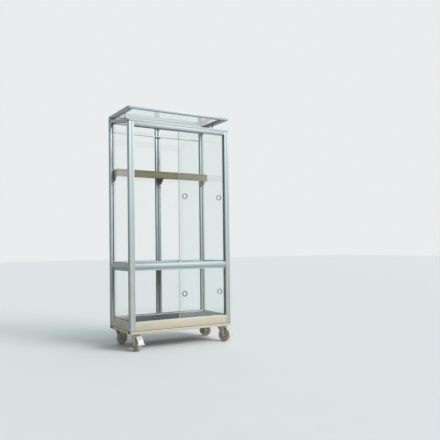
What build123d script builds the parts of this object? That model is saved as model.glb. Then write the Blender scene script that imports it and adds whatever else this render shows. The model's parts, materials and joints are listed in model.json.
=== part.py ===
"""Tall glazed greenhouse cabinet on four castors, with sliding front panes and a hinged glass lid.

Millimetres. +X is right seen from the front, +Y is to the rear, +Z is up.
The origin is on the floor, under the centre of the whole footprint, brake pedals included. The
numbers below are from the centre of the frame, and save() moves each piece to the origin.
"""
from build123d import *
import math
import os

# Driving dimensions of the cabinet
WIDTH = 860.0
DEPTH = 432.0
CASTOR_HEIGHT = 126.0
FRAME_HEIGHT = 1581.0
REAR_RISE = 80.0
POST = 40.0
REAR_POST_NARROW = 27.0
WALL = 2.0
FOOTPRINT_SHIFT = 23.0
CUT_MARGIN = 1.0

# Base, middle and top members
LIP_HEIGHT = 23.0
LIP_DEPTH = 60.0
SHADOW_GAP = 4.0
SHADOW_DEPTH = 7.0
SILL_HEIGHT = 64.0
MID_TOP_ABOVE_LIP = 520.6
NOSE_HEIGHT = 45.0
NOSE_DEPTH = 15.0
BAND_HEIGHT = 11.0
BAND_SETBACK = 8.0
CAP_HEIGHT = 16.6
CAP_LINE = 4.0
CAP_LINE_DEPTH = 2.0
FACE_LINE = 10.0
FACE_LINE_DEPTH = 1.0
HEAD_HEIGHT = 23.4
REAR_RAIL_HEIGHT = 30.0
SIDE_RAIL_HEIGHT = 24.0
TRAY = 2.0
TRAY_EDGE = 18.0
TRAY_DROP = 6.0

# Glass and the grooves that hold it
GLASS = 4.0
GLASS_PLAY = 0.3
SIDE_GLASS_SETBACK = 20.0
REAR_GLASS_SETBACK = 6.0
GROOVE = 10.0
EDGE_PLAY = 2.0

# Sliding panes
OUTER_PANE_SETBACK = 18.0
INNER_PANE_SETBACK = 28.0
TRACK_DEPTH = 8.0
HEAD_SLOT = 16.0
BAND_SLOT = 12.0
HEAD_GRIP = 10.0
BAND_GRIP = 8.0
STOP_DEPTH = 10.0
STOP_PLAY = 2.0
PANE_OVERLAP = 24.0
UPPER_OPEN_SHORT = 2.0
LOWER_OPEN_SHORT = 10.0
FINGER_HOLE = 30.0
FINGER_HOLE_INSET = 50.0

# Rear mullion, hanging bar and wooden shelf
MULLION_WIDTH = 42.0
MULLION_FLANGE = 3.0
MULLION_WEB = 8.0
MULLION_RIB = 4.5
MULLION_CHANNEL = 14.0
BAR_DIAMETER = 10.0
BAR_BELOW_REAR_TOP = 103.0
BAR_SETBACK = 26.0
SHELF_TOP = 1382.0
SHELF_DEPTH = 104.0
SHELF_BOARD = 18.0
SHELF_END_PLAY = 2.0
FASCIA_HEIGHT = 40.0
FASCIA = 12.0
BRACKET_HEIGHT = 74.0
BRACKET_REACH = 84.0
BRACKET_TOE = 14.0
BRACKET_THICKNESS = 16.0

# Lid and its hinge
LID_THICKNESS = 22.0
LID_FRONT_THICKNESS = 17.0
LID_RAIL = 28.0
LID_SIDE_RAIL = 40.0
LID_SEAT_GAP = 1.0
LID_GLASS_DROP = 3.0
HINGE_FROM_REAR = 12.0
HINGE_PIN = 9.0
HINGE_PLAY = 0.1
HINGE_SHELL = 3.0
HINGE_WEB = 3.0
HINGE_FOOT = 15.0
HINGE_HEEL = 3.5
HINGE_MOUTH = 55.0
HINGE_LAP = 1.0
HINGE_ARM_DROP = 0.5
PROP_Y = -31.0
PROP_WIDTH = 8.0
PROP_EYE = 12.0
PROP_THICKNESS = 3.0
PROP_PIN = 5.0
PROP_PIN_PLAY = 0.1
PROP_PIN_DEPTH = 8.0
PROP_PIN_END_PLAY = 1.0
PROP_PIN_HEAD = 9.0
PROP_PIN_HEAD_HEIGHT = 1.5
PROP_PIVOT_BELOW_RAIL_TOP = 12.0
PROP_OVERLAP = 4.0
PROP_SIDE_PLAY = 0.5

# Castors
CASTOR_INSET = 56.0
CASTOR_TRAIL = 32.0
WHEEL_HEADROOM = 15.7
TREAD_WIDTH = 32.0
TREAD_THICKNESS = 11.0
TREAD_ROUND = 6.0
HUB_LENGTH = 37.0
HUB_BOSS = 26.0
HUB_WEB = 12.0
HUB_RIM = 6.0
HUB_RIM_INSET = 1.0
HUB_LAP = 2.0
AXLE = 10.0
AXLE_PLAY = 0.1
AXLE_END = 4.0
PLATE = 84.0
PLATE_THICKNESS = 3.0
GUSSET = 5.0
GUSSET_MARGIN = 2.0
FORK_STEEL = 3.0
FORK_GAP = 38.0
FORK_FOOT = 13.0
FORK_LAP = 2.0
FORK_BACK_INSET = 6.0
FORK_FRONT_REACH = 4.0
FORK_SHOULDER = 8.0
CROWN_DIAMETER = 62.0
CROWN_DEPTH = 7.0
CROWN_CHAMFER = 3.0
KINGPIN = 10.0
KINGPIN_TAIL = 6.0
SWIVEL_PLAY = 0.3
PEDAL_NECK = 34.0
PEDAL_WIDTH = 44.0
PEDAL_FOOT = 56.0
PEDAL_STEEL = 2.5
PEDAL_PIN = 5.0
PEDAL_PIN_OUT = 30.0
PEDAL_CROWN_GAP = 1.2
PEDAL_BARREL = 9.0
PEDAL_END_PLAY = 0.3
PEDAL_GAP = 18.0
PEDAL_NECK_END = 50.0
PEDAL_FLARE_TOP = 16.0
PEDAL_FLARE_BOTTOM = 9.0
PEDAL_HOLE = 10.0
PEDAL_ANGLES = (62.0, 28.0, 0.0)
CASTOR_TURNS = {
    "front_left": -85.0,
    "front_right": -66.0,
    "rear_left": 28.0,
    "rear_right": -43.0,
}

# Levels and planes worked out from the sizes above
HALF_WIDTH = WIDTH / 2
FRONT = -DEPTH / 2
REAR = DEPTH / 2
LIP_TOP = CASTOR_HEIGHT + LIP_HEIGHT
SILL_TOP = LIP_TOP + SILL_HEIGHT
MID_TOP = CASTOR_HEIGHT + MID_TOP_ABOVE_LIP
MID_BOTTOM = MID_TOP - NOSE_HEIGHT - BAND_HEIGHT
FRONT_TOP = CASTOR_HEIGHT + FRAME_HEIGHT
CAP_BOTTOM = FRONT_TOP - CAP_HEIGHT
HEAD_BOTTOM = CAP_BOTTOM - HEAD_HEIGHT
REAR_TOP = FRONT_TOP + REAR_RISE
REAR_RAIL_BOTTOM = REAR_TOP - REAR_RAIL_HEIGHT
SLOPE = math.atan2(REAR_RISE, DEPTH)
INNER_X = HALF_WIDTH - POST
INNER_FRONT = FRONT + POST
INNER_REAR = REAR - POST
LEFT_INNER = HALF_WIDTH - REAR_POST_NARROW
RIGHT_REAR = REAR - REAR_POST_NARROW
MULLION_X = (INNER_X - LEFT_INNER) / 2
SLOT = GLASS + 2 * GLASS_PLAY
SIDE_GLASS_INNER = HALF_WIDTH - SIDE_GLASS_SETBACK - GLASS
CROWN_TOP = CASTOR_HEIGHT - PLATE_THICKNESS - SWIVEL_PLAY
CROWN_LOW = CROWN_TOP - CROWN_DEPTH
WHEEL_RADIUS = (CROWN_LOW - WHEEL_HEADROOM) / 2
PEDAL_TOP = CROWN_LOW - PEDAL_CROWN_GAP
PEDAL_PIN_HEIGHT = PEDAL_TOP - PEDAL_BARREL / 2


def slope_z(y):
    """Height of the frame's sloping top plane at a depth."""
    return FRONT_TOP + (y - FRONT) * math.tan(SLOPE)


# Levels of the hinge line, of the level open lid and of the props' pins
HINGE_Y = REAR - HINGE_FROM_REAR
HINGE_Z = slope_z(HINGE_Y) + (LID_THICKNESS / 2 + LID_SEAT_GAP) / math.cos(SLOPE)
LID_TOP = HINGE_Z + LID_THICKNESS / 2
LID_BOTTOM = HINGE_Z - LID_THICKNESS / 2
LID_REAR = HINGE_Y - HINGE_PIN / 2 - HINGE_PLAY - HINGE_SHELL + HINGE_LAP
PROP_PIVOT_Z = slope_z(PROP_Y) - PROP_PIVOT_BELOW_RAIL_TOP


def block(x0, x1, y0, y1, z0, z1):
    """Box between two corners."""
    return Pos(x0, y0, z0) * Box(x1 - x0, y1 - y0, z1 - z0, align=(Align.MIN,) * 3)


def rect(a0, a1, b0, b1):
    """Rectangle between two corners of a sketch."""
    return Pos(a0, b0) * Rectangle(a1 - a0, b1 - b0, align=(Align.MIN, Align.MIN))


def along_x(sketch, x0, x1):
    """Profile drawn in (y, z), extruded from x0 to x1."""
    return extrude(Plane.YZ.offset(x0) * sketch, x1 - x0, dir=(1, 0, 0))


def along_y(sketch, y0, y1):
    """Profile drawn in (x, z), extruded from y0 to y1."""
    plane = Plane((0, y0, 0), x_dir=(1, 0, 0), z_dir=(0, -1, 0))
    return extrude(plane * sketch, y1 - y0, dir=(0, 1, 0))


def along_z(sketch, z0, z1):
    """Profile drawn in (x, y), extruded from z0 to z1."""
    return extrude(Plane.XY.offset(z0) * sketch, z1 - z0, dir=(0, 0, 1))


def save(name, *shapes):
    """Write one named piece, or a group of like pieces."""
    place = Pos(0, FOOTPRINT_SHIFT, 0)
    solids = [place * s for shape in shapes for s in shape.solids()]
    whole = solids[0] if len(solids) == 1 else Compound(children=solids)
    export_step(whole, f"parts/{name}.step")


def front_corner_section():
    """Front post: hollow, with a groove for the side glass and a wide stop groove for the panes.

    Drawn with its outer corner at the origin: first axis inwards from the side, second inwards
    from the front. A shallow recess runs up the middle of the front face.
    """
    glass0 = SIDE_GLASS_SETBACK - GLASS_PLAY
    stop0 = OUTER_PANE_SETBACK - GLASS_PLAY - CUT_MARGIN
    stop1 = INNER_PANE_SETBACK + GLASS + GLASS_PLAY + CUT_MARGIN
    groove = GROOVE + EDGE_PLAY
    front_wall = FACE_LINE_DEPTH + WALL
    section = rect(0, POST, 0, POST)
    section -= rect((POST - FACE_LINE) / 2, (POST + FACE_LINE) / 2, 0, FACE_LINE_DEPTH)
    section -= rect(glass0, glass0 + SLOT, POST - groove, POST)
    section -= rect(POST - STOP_DEPTH, POST, stop0, stop1)
    section -= rect(WALL, glass0 - WALL, front_wall, POST - WALL)
    section -= rect(glass0 - WALL, POST - STOP_DEPTH - WALL, front_wall, POST - groove - WALL)
    return section


def rear_corner_section(width, depth):
    """Rear post: hollow, with grooves for the side glass and for the rear glass.

    Drawn with its outer corner at the origin, like the front post.
    """
    glass0 = SIDE_GLASS_SETBACK - GLASS_PLAY
    rear0 = REAR_GLASS_SETBACK - GLASS_PLAY
    groove = GROOVE + EDGE_PLAY
    chamber = rect(WALL, width - WALL, WALL, depth - WALL)
    chamber -= rect(glass0 - WALL, width, depth - groove - WALL, depth)
    chamber -= rect(width - groove - WALL, width, 0, rear0 + SLOT + 2 * WALL)
    section = rect(0, width, 0, depth) - chamber
    section -= rect(glass0, glass0 + SLOT, depth - groove, depth)
    section -= rect(width - groove, width, rear0, rear0 + SLOT)
    return section


def corner_post(section, right, rear, top):
    """Stand a corner section at its place, turned to its corner."""
    if rear:
        section = mirror(section, Plane.XZ)
    if right:
        section = mirror(section, Plane.YZ)
    x = HALF_WIDTH if right else -HALF_WIDTH
    y = REAR if rear else FRONT
    return along_z(Pos(x, y) * section, LIP_TOP, top)


def nose_section(band_setback):
    """Middle rail: a rounded nose over a set-back band. First axis inwards, second up."""
    middle = MID_TOP - NOSE_HEIGHT / 2
    nose = Pos(NOSE_DEPTH, middle) * Ellipse(NOSE_DEPTH, NOSE_HEIGHT / 2)
    body = rect(NOSE_DEPTH, POST, MID_TOP - NOSE_HEIGHT, MID_TOP)
    band = rect(band_setback, POST, MID_BOTTOM, MID_TOP - NOSE_HEIGHT)
    hollow = Pos(NOSE_DEPTH, middle) * Ellipse(NOSE_DEPTH - WALL, NOSE_HEIGHT / 2 - WALL)
    hollow &= rect(0, NOSE_DEPTH, MID_BOTTOM, MID_TOP)
    return nose + body + band - hollow


def glazed_mid_section(setback):
    """Middle rail with a glazing groove above and below, and a chamber behind them."""
    g0 = setback - GLASS_PLAY
    section = nose_section(BAND_SETBACK)
    section -= rect(g0, g0 + SLOT, MID_TOP - GROOVE, MID_TOP)
    section -= rect(g0, g0 + SLOT, MID_BOTTOM, MID_BOTTOM + GROOVE)
    section -= rect(g0 + SLOT + WALL, POST - WALL, MID_BOTTOM + WALL, MID_TOP - WALL)
    return section


def track_slots(low, high):
    """The two slots that the outer and the inner pane run in."""
    outer = OUTER_PANE_SETBACK - GLASS_PLAY
    inner = INNER_PANE_SETBACK - GLASS_PLAY
    return rect(outer, outer + SLOT, low, high) + rect(inner, inner + SLOT, low, high)


def to_front(section):
    """Place an inwards/up section on the front plane, for along_x."""
    return Pos(FRONT, 0) * section


def to_rear(section):
    """Place an inwards/up section on the rear plane, for along_x."""
    return Pos(REAR, 0) * mirror(section, Plane.YZ)


def to_left(section):
    """Place an inwards/up section on the left plane, for along_y."""
    return Pos(-HALF_WIDTH, 0) * section


def to_right(section):
    """Place an inwards/up section on the right plane, for along_y."""
    return Pos(HALF_WIDTH, 0) * mirror(section, Plane.YZ)


def base_section():
    """Base member: a hollow lip, a shadow gap above it, and the tall sill over that."""
    lip = rect(0, LIP_DEPTH, CASTOR_HEIGHT, LIP_TOP - SHADOW_GAP)
    neck = rect(SHADOW_DEPTH, LIP_DEPTH, LIP_TOP - SHADOW_GAP, LIP_TOP)
    chamber = rect(SHADOW_DEPTH + WALL, LIP_DEPTH - WALL, CASTOR_HEIGHT + WALL, LIP_TOP - WALL)
    return lip + neck - chamber


def sill_section(hollow_from, hollow_to):
    """The tall sill that stands on the lip between the posts."""
    sill = rect(0, POST, LIP_TOP, SILL_TOP)
    chamber = rect(WALL, POST - WALL, LIP_TOP + WALL, SILL_TOP - GROOVE - WALL)
    corner = rect(hollow_from, hollow_to, SILL_TOP - GROOVE - WALL, SILL_TOP - WALL)
    return sill - chamber - corner


def make_posts():
    """Four corner posts, from the base lip up to the top rails. The rear ones are narrower."""
    front = front_corner_section()
    rear_left = rear_corner_section(REAR_POST_NARROW, POST)
    rear_right = rear_corner_section(POST, REAR_POST_NARROW)
    save("front_left_post", corner_post(front, False, False, CAP_BOTTOM))
    save("front_right_post", corner_post(front, True, False, CAP_BOTTOM))
    save("rear_left_post", corner_post(rear_left, False, True, REAR_RAIL_BOTTOM))
    save("rear_right_post", corner_post(rear_right, True, True, REAR_RAIL_BOTTOM))


def make_base():
    """Base members, castor gussets and the floor tray."""
    lip = base_section()
    side_span = (FRONT + LIP_DEPTH, REAR - LIP_DEPTH)
    front_sill = sill_section(WALL, OUTER_PANE_SETBACK - GLASS_PLAY - WALL)
    front_sill -= track_slots(SILL_TOP - TRACK_DEPTH, SILL_TOP)
    rear0 = REAR_GLASS_SETBACK - GLASS_PLAY
    rear_sill = sill_section(rear0 + SLOT + WALL, POST - WALL)
    rear_sill -= rect(rear0, rear0 + SLOT, SILL_TOP - GROOVE, SILL_TOP)
    side0 = SIDE_GLASS_SETBACK - GLASS_PLAY
    side_sill = sill_section(WALL, side0 - WALL)
    side_sill -= rect(side0, side0 + SLOT, SILL_TOP - GROOVE, SILL_TOP)

    front = along_x(to_front(lip), -HALF_WIDTH, HALF_WIDTH)
    front += along_x(to_front(front_sill), -INNER_X, INNER_X)
    rear = along_x(to_rear(lip), -HALF_WIDTH, HALF_WIDTH)
    rear += along_x(to_rear(rear_sill), -LEFT_INNER, INNER_X)
    left = along_y(to_left(lip), *side_span)
    left += along_y(to_left(side_sill), INNER_FRONT, INNER_REAR)
    right = along_y(to_right(lip), *side_span)
    right += along_y(to_right(side_sill), INNER_FRONT, RIGHT_REAR)
    corners = [(sx, sy) for sx in (-1, 1) for sy in (-1, 1)]
    for sx, sy in corners:
        cut = shadow_cut(sx, sy)
        front -= cut
        rear -= cut
    save("front_base", front)
    save("rear_base", rear)
    save("left_base", left)
    save("right_base", right)

    inner = CASTOR_INSET + PLATE / 2 + GUSSET_MARGIN
    gussets = []
    for sx, sy in corners:
        x0, x1 = sorted((sx * (HALF_WIDTH - LIP_DEPTH), sx * (HALF_WIDTH - inner)))
        y0, y1 = sorted((sy * (REAR - LIP_DEPTH), sy * (REAR - inner)))
        gussets.append(block(x0, x1, y0, y1, CASTOR_HEIGHT, CASTOR_HEIGHT + GUSSET))
    save("corner_gussets", *gussets)
    save("base_floor", tray(SILL_TOP - TRAY_DROP))


def shadow_cut(sx, sy):
    """The shadow gap round a corner, on the end of a front or rear lip."""
    x0, x1 = sorted((sx * (HALF_WIDTH - SHADOW_DEPTH), sx * HALF_WIDTH))
    y0, y1 = sorted((sy * (REAR - LIP_DEPTH), sy * REAR))
    return block(x0, x1, y0, y1, LIP_TOP - SHADOW_GAP, LIP_TOP)


def tray(top):
    """Folded sheet floor between the inner faces of the members."""
    outer = block(-INNER_X, INNER_X, INNER_FRONT, INNER_REAR, top - TRAY_EDGE, top)
    inside = block(-INNER_X + TRAY, INNER_X - TRAY, INNER_FRONT + TRAY, INNER_REAR - TRAY,
                   top - TRAY_EDGE, top - TRAY)
    return outer - inside


def make_middle():
    """Four middle rails and the tray between them."""
    front = nose_section(BAND_SETBACK)
    front -= track_slots(MID_TOP - TRACK_DEPTH, MID_TOP)
    front -= track_slots(MID_BOTTOM, MID_BOTTOM + BAND_SLOT)
    save("front_mid_rail", along_x(to_front(front), -INNER_X, INNER_X))
    side = glazed_mid_section(SIDE_GLASS_SETBACK)
    save("left_mid_rail", along_y(to_left(side), INNER_FRONT, INNER_REAR))
    save("right_mid_rail", along_y(to_right(side), INNER_FRONT, RIGHT_REAR))
    rear0 = REAR_GLASS_SETBACK - GLASS_PLAY
    rear = rect(0, POST, MID_BOTTOM, MID_TOP)
    rear -= rect(rear0, rear0 + SLOT, MID_TOP - GROOVE, MID_TOP)
    rear -= rect(rear0, rear0 + SLOT, MID_BOTTOM, MID_BOTTOM + GROOVE)
    rear -= rect(rear0 + SLOT + WALL, POST - WALL, MID_BOTTOM + WALL, MID_TOP - WALL)
    save("rear_mid_rail", along_x(to_rear(rear), -LEFT_INNER, INNER_X))
    save("mid_floor", tray(MID_TOP - TRAY_DROP))


def make_top():
    """Top rails: a cap over the posts in front, sloping side rails and a deep rear rail."""
    cap = Polygon(
        (FRONT, CAP_BOTTOM),
        (INNER_FRONT, CAP_BOTTOM),
        (INNER_FRONT, slope_z(INNER_FRONT)),
        (FRONT, FRONT_TOP),
        align=None,
    )
    cap -= rect(FRONT, FRONT + CAP_LINE_DEPTH, CAP_BOTTOM, CAP_BOTTOM + CAP_LINE)
    cap -= rect(FRONT + CAP_LINE_DEPTH + WALL, INNER_FRONT - WALL, CAP_BOTTOM + WALL,
                FRONT_TOP - WALL)
    save("front_top_rail", along_x(cap, -HALF_WIDTH, HALF_WIDTH))

    head = rect(0, POST, HEAD_BOTTOM, CAP_BOTTOM)
    head -= track_slots(HEAD_BOTTOM, HEAD_BOTTOM + HEAD_SLOT)
    front_chamber = OUTER_PANE_SETBACK - GLASS_PLAY - WALL
    head -= rect(WALL, front_chamber, HEAD_BOTTOM + WALL, CAP_BOTTOM - WALL)
    save("front_head_rail", along_x(to_front(head), -INNER_X, INNER_X))

    rear0 = REAR - REAR_GLASS_SETBACK - GLASS - GLASS_PLAY
    rear = Polygon(
        (INNER_REAR, REAR_RAIL_BOTTOM),
        (REAR, REAR_RAIL_BOTTOM),
        (REAR, REAR_TOP),
        (INNER_REAR, slope_z(INNER_REAR)),
        align=None,
    )
    rear -= rect(rear0, rear0 + SLOT, REAR_RAIL_BOTTOM, REAR_RAIL_BOTTOM + GROOVE)
    rear -= rect(INNER_REAR + WALL, rear0 - WALL, REAR_RAIL_BOTTOM + WALL,
                 slope_z(INNER_REAR) - WALL)
    save("rear_top_rail", along_x(rear, -HALF_WIDTH, HALF_WIDTH))

    rise = SIDE_RAIL_HEIGHT / math.cos(SLOPE)
    groove_rise = GROOVE / math.cos(SLOPE)
    wall_rise = WALL / math.cos(SLOPE)
    glass0 = SIDE_GLASS_SETBACK - GLASS_PLAY

    def sloped(u0, u1, below0, below1):
        """Slab between two distances inwards and two distances below the top plane."""
        outline = Polygon(
            (INNER_FRONT, slope_z(INNER_FRONT) - below1),
            (INNER_REAR, slope_z(INNER_REAR) - below1),
            (INNER_REAR, slope_z(INNER_REAR) - below0),
            (INNER_FRONT, slope_z(INNER_FRONT) - below0),
            align=None,
        )
        return along_x(outline, -HALF_WIDTH + u0, -HALF_WIDTH + u1)

    rail = sloped(0, POST, 0, rise)
    rail -= sloped(glass0, glass0 + SLOT, rise - groove_rise, rise)
    rail -= sloped(WALL, glass0 - WALL, wall_rise, rise - wall_rise)
    bore = Pos(PROP_Y, PROP_PIVOT_Z) * Circle(PROP_PIN / 2 + PROP_PIN_PLAY)
    rail -= along_x(bore, -INNER_X - PROP_PIN_DEPTH - PROP_PIN_END_PLAY, -INNER_X)
    save("left_top_rail", rail)
    save("right_top_rail", mirror(rail, Plane.YZ))


def side_panes(post_face):
    """Upper and lower pane of the left side, to the front face of a rear post."""
    x0 = -HALF_WIDTH + SIDE_GLASS_SETBACK
    y0 = INNER_FRONT - GROOVE
    y1 = post_face + GROOVE
    lower = block(x0, x0 + GLASS, y0, y1, SILL_TOP - GROOVE, MID_BOTTOM + GROOVE - EDGE_PLAY)
    under_rail = SIDE_RAIL_HEIGHT / math.cos(SLOPE) - (GROOVE - EDGE_PLAY) / math.cos(SLOPE)
    outline = Polygon(
        (y0, MID_TOP - GROOVE),
        (y1, MID_TOP - GROOVE),
        (y1, REAR_RAIL_BOTTOM),
        (INNER_REAR, REAR_RAIL_BOTTOM),
        (INNER_REAR, slope_z(INNER_REAR) - under_rail),
        (INNER_FRONT, slope_z(INNER_FRONT) - under_rail),
        (INNER_FRONT, CAP_BOTTOM),
        (y0, CAP_BOTTOM),
        align=None,
    )
    return lower, along_x(outline, x0, x0 + GLASS)


def make_fixed_glass():
    """Fixed panes of both sides and of the rear."""
    save("left_glass", *side_panes(INNER_REAR))
    save("right_glass", *[mirror(pane, Plane.YZ) for pane in side_panes(RIGHT_REAR)])
    y1 = REAR - REAR_GLASS_SETBACK
    beside_web = MULLION_WEB / 2 + EDGE_PLAY
    panes = []
    for sx, post_face in ((-1, LEFT_INNER), (1, INNER_X)):
        x_in = MULLION_X + sx * beside_web
        x0, x1 = sorted((x_in, sx * (post_face + GROOVE)))
        x_top0, x_top1 = sorted((x_in, sx * post_face))
        panes.append(block(x0, x1, y1 - GLASS, y1, SILL_TOP - GROOVE,
                           MID_BOTTOM + GROOVE - EDGE_PLAY))
        upper = block(x0, x1, y1 - GLASS, y1, MID_TOP - GROOVE, REAR_RAIL_BOTTOM)
        upper += block(x_top0, x_top1, y1 - GLASS, y1, REAR_RAIL_BOTTOM,
                       REAR_RAIL_BOTTOM + GROOVE - EDGE_PLAY)
        panes.append(upper)
    save("rear_glass", *panes)


def make_mullion_and_bar():
    """Twin-strip mullion between the rear panes, and the hanging bar in front of it."""
    face = REAR - REAR_GLASS_SETBACK + GLASS_PLAY
    back = REAR - REAR_GLASS_SETBACK - GLASS - GLASS_PLAY
    half = MULLION_WIDTH / 2
    section = rect(-half, half, face, face + MULLION_FLANGE)
    section += rect(-MULLION_WEB / 2, MULLION_WEB / 2, back, face)
    section += rect(-half, half, back - MULLION_FLANGE, back)
    rib_back = back - MULLION_FLANGE - MULLION_RIB
    for sx in (-1, 1):
        x0, x1 = sorted((sx * MULLION_CHANNEL / 2, sx * half))
        section += rect(x0, x1, rib_back, back - MULLION_FLANGE)
    section = Pos(MULLION_X, 0) * section
    lower = along_z(section, SILL_TOP, MID_BOTTOM)
    upper = along_z(section, MID_TOP, REAR_RAIL_BOTTOM)
    save("rear_mullion", lower, upper)
    centre = (REAR - BAR_SETBACK, REAR_TOP - BAR_BELOW_REAR_TOP)
    ring = Pos(*centre) * (Circle(BAR_DIAMETER / 2) - Circle(BAR_DIAMETER / 2 - WALL))
    save("hanging_bar", along_x(ring, -LEFT_INNER, INNER_X))


def make_shelf():
    """Wooden shelf along the rear, its fascia and its three brackets."""
    back = REAR - REAR_GLASS_SETBACK - GLASS - GLASS_PLAY - MULLION_FLANGE - MULLION_RIB
    front = back - SHELF_DEPTH
    end = SIDE_GLASS_INNER - SHELF_END_PLAY
    board = block(-end, end, front, INNER_REAR, SHELF_TOP - SHELF_BOARD, SHELF_TOP)
    board += block(-LEFT_INNER, end, INNER_REAR, RIGHT_REAR, SHELF_TOP - SHELF_BOARD, SHELF_TOP)
    board += block(-LEFT_INNER, INNER_X, RIGHT_REAR, back, SHELF_TOP - SHELF_BOARD, SHELF_TOP)
    save("shelf_board", board)
    under = SHELF_TOP - SHELF_BOARD
    save("shelf_fascia", block(-end, end, front, front + FASCIA, under - FASCIA_HEIGHT, under))

    def bracket(x, y_back):
        """Triangular gusset below the board, against a post or the mullion."""
        reach = BRACKET_REACH - (back - y_back)
        outline = Polygon(
            (y_back, under),
            (y_back - reach, under),
            (y_back - reach, under - BRACKET_TOE),
            (y_back - BRACKET_TOE, under - BRACKET_HEIGHT),
            (y_back, under - BRACKET_HEIGHT),
            align=None,
        )
        return along_x(outline, x - BRACKET_THICKNESS / 2, x + BRACKET_THICKNESS / 2)

    half = BRACKET_THICKNESS / 2
    rib = MULLION_X + (MULLION_CHANNEL + MULLION_WIDTH) / 4
    save("shelf_brackets", bracket(half - LEFT_INNER, back), bracket(rib, back),
         bracket(INNER_X + half, RIGHT_REAR))


def pane(x0, x1, setback, bottom, top, hole_x):
    """Sliding toughened pane with its round finger hole."""
    y0 = FRONT + setback
    glass = block(x0, x1, y0, y0 + GLASS, bottom, top)
    middle = (bottom + top) / 2
    hole = along_y(Pos(hole_x, middle) * Circle(FINGER_HOLE / 2), y0 - CUT_MARGIN,
                   y0 + GLASS + CUT_MARGIN)
    return glass - hole


def make_doors():
    """Two rows of two sliding panes. The left ones stand slid to the right."""
    reach = INNER_X + STOP_DEPTH - STOP_PLAY
    width = reach + PANE_OVERLAP / 2
    rows = {
        "upper": (MID_TOP - TRACK_DEPTH + GLASS_PLAY, HEAD_BOTTOM + HEAD_GRIP, UPPER_OPEN_SHORT),
        "lower": (SILL_TOP - TRACK_DEPTH + GLASS_PLAY, MID_BOTTOM + BAND_GRIP, LOWER_OPEN_SHORT),
    }
    for row, (bottom, top, short) in rows.items():
        x0 = reach - short - width
        left = pane(x0, x0 + width, OUTER_PANE_SETBACK, bottom, top, x0 + FINGER_HOLE_INSET)
        save(f"{row}_left_pane", left)
        right = pane(reach - width, reach, INNER_PANE_SETBACK, bottom, top,
                     reach - FINGER_HOLE_INSET)
        save(f"{row}_right_pane", right)


def make_hinge():
    """Fixed hinge bar: a round bead on a web, along the rear rail."""
    pin = Pos(HINGE_Y, HINGE_Z) * Circle(HINGE_PIN / 2)
    foot0 = HINGE_Y - HINGE_HEEL
    foot1 = foot0 + HINGE_FOOT
    foot = Polygon(
        (foot0, slope_z(foot0)),
        (foot1, slope_z(foot1)),
        (foot1, slope_z(foot1) + HINGE_WEB),
        (foot0, slope_z(foot0) + HINGE_WEB),
        align=None,
    )
    web = rect(HINGE_Y - HINGE_WEB / 2, HINGE_Y + HINGE_WEB / 2,
               slope_z(HINGE_Y) + HINGE_WEB / 2, HINGE_Z)
    save("hinge_bar", along_x(pin + foot + web, -HALF_WIDTH, HALF_WIDTH))


def make_lid():
    """Glass lid, level in its open pose: hinge rail, two side rails, front rail and pane."""
    inner = HINGE_PIN / 2 + HINGE_PLAY
    outer = inner + HINGE_SHELL
    shell = Circle(outer) - Circle(inner)
    mouth = Polygon(
        (0, 0),
        (-outer * 2 * math.sin(math.radians(HINGE_MOUTH)),
         -outer * 2 * math.cos(math.radians(HINGE_MOUTH))),
        (outer * 2 * math.sin(math.radians(HINGE_MOUTH)),
         -outer * 2 * math.cos(math.radians(HINGE_MOUTH))),
        align=None,
    )
    rail_front = LID_REAR - LID_RAIL
    rail = rect(rail_front, LID_REAR, LID_BOTTOM, LID_TOP)
    rail -= rect(rail_front + WALL, LID_REAR - WALL, LID_BOTTOM + WALL, LID_TOP - WALL)
    arm = rect(LID_REAR - WALL, HINGE_Y, HINGE_Z, HINGE_Z + outer - HINGE_ARM_DROP)
    profile = rail + arm + Pos(HINGE_Y, HINGE_Z) * (shell - mouth)
    profile -= Pos(HINGE_Y, HINGE_Z) * Circle(inner)
    glass_z0 = LID_TOP - LID_GLASS_DROP - GLASS
    seat = (glass_z0 - GLASS_PLAY, glass_z0 + GLASS + GLASS_PLAY)
    profile -= rect(rail_front, rail_front + GROOVE, *seat)
    save("lid_hinge_rail", along_x(profile, -HALF_WIDTH, HALF_WIDTH))

    front_top = LID_TOP - (LID_THICKNESS - LID_FRONT_THICKNESS) / 2
    front_bottom = front_top - LID_FRONT_THICKNESS
    front = rect(FRONT, FRONT + LID_RAIL, front_bottom, front_top)
    front -= rect(FRONT + WALL, FRONT + LID_RAIL - GROOVE - WALL,
                  front_bottom + WALL, front_top - WALL)
    front -= rect(FRONT + LID_RAIL - GROOVE, FRONT + LID_RAIL, *seat)
    save("lid_front_rail", along_x(front, -HALF_WIDTH, HALF_WIDTH))

    side = rect(0, LID_SIDE_RAIL, LID_BOTTOM, LID_TOP)
    side -= rect(WALL, LID_SIDE_RAIL - GROOVE - WALL, LID_BOTTOM + WALL, LID_TOP - WALL)
    side -= rect(LID_SIDE_RAIL - GROOVE, LID_SIDE_RAIL, *seat)
    span = (FRONT + LID_RAIL, rail_front)
    save("lid_left_rail", along_y(to_left(side), *span))
    save("lid_right_rail", along_y(to_right(side), *span))
    edge = GROOVE - EDGE_PLAY
    x1 = HALF_WIDTH - LID_SIDE_RAIL + edge
    save("lid_glass", block(-x1, x1, span[0] - edge, span[1] + edge, glass_z0, glass_z0 + GLASS))


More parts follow.
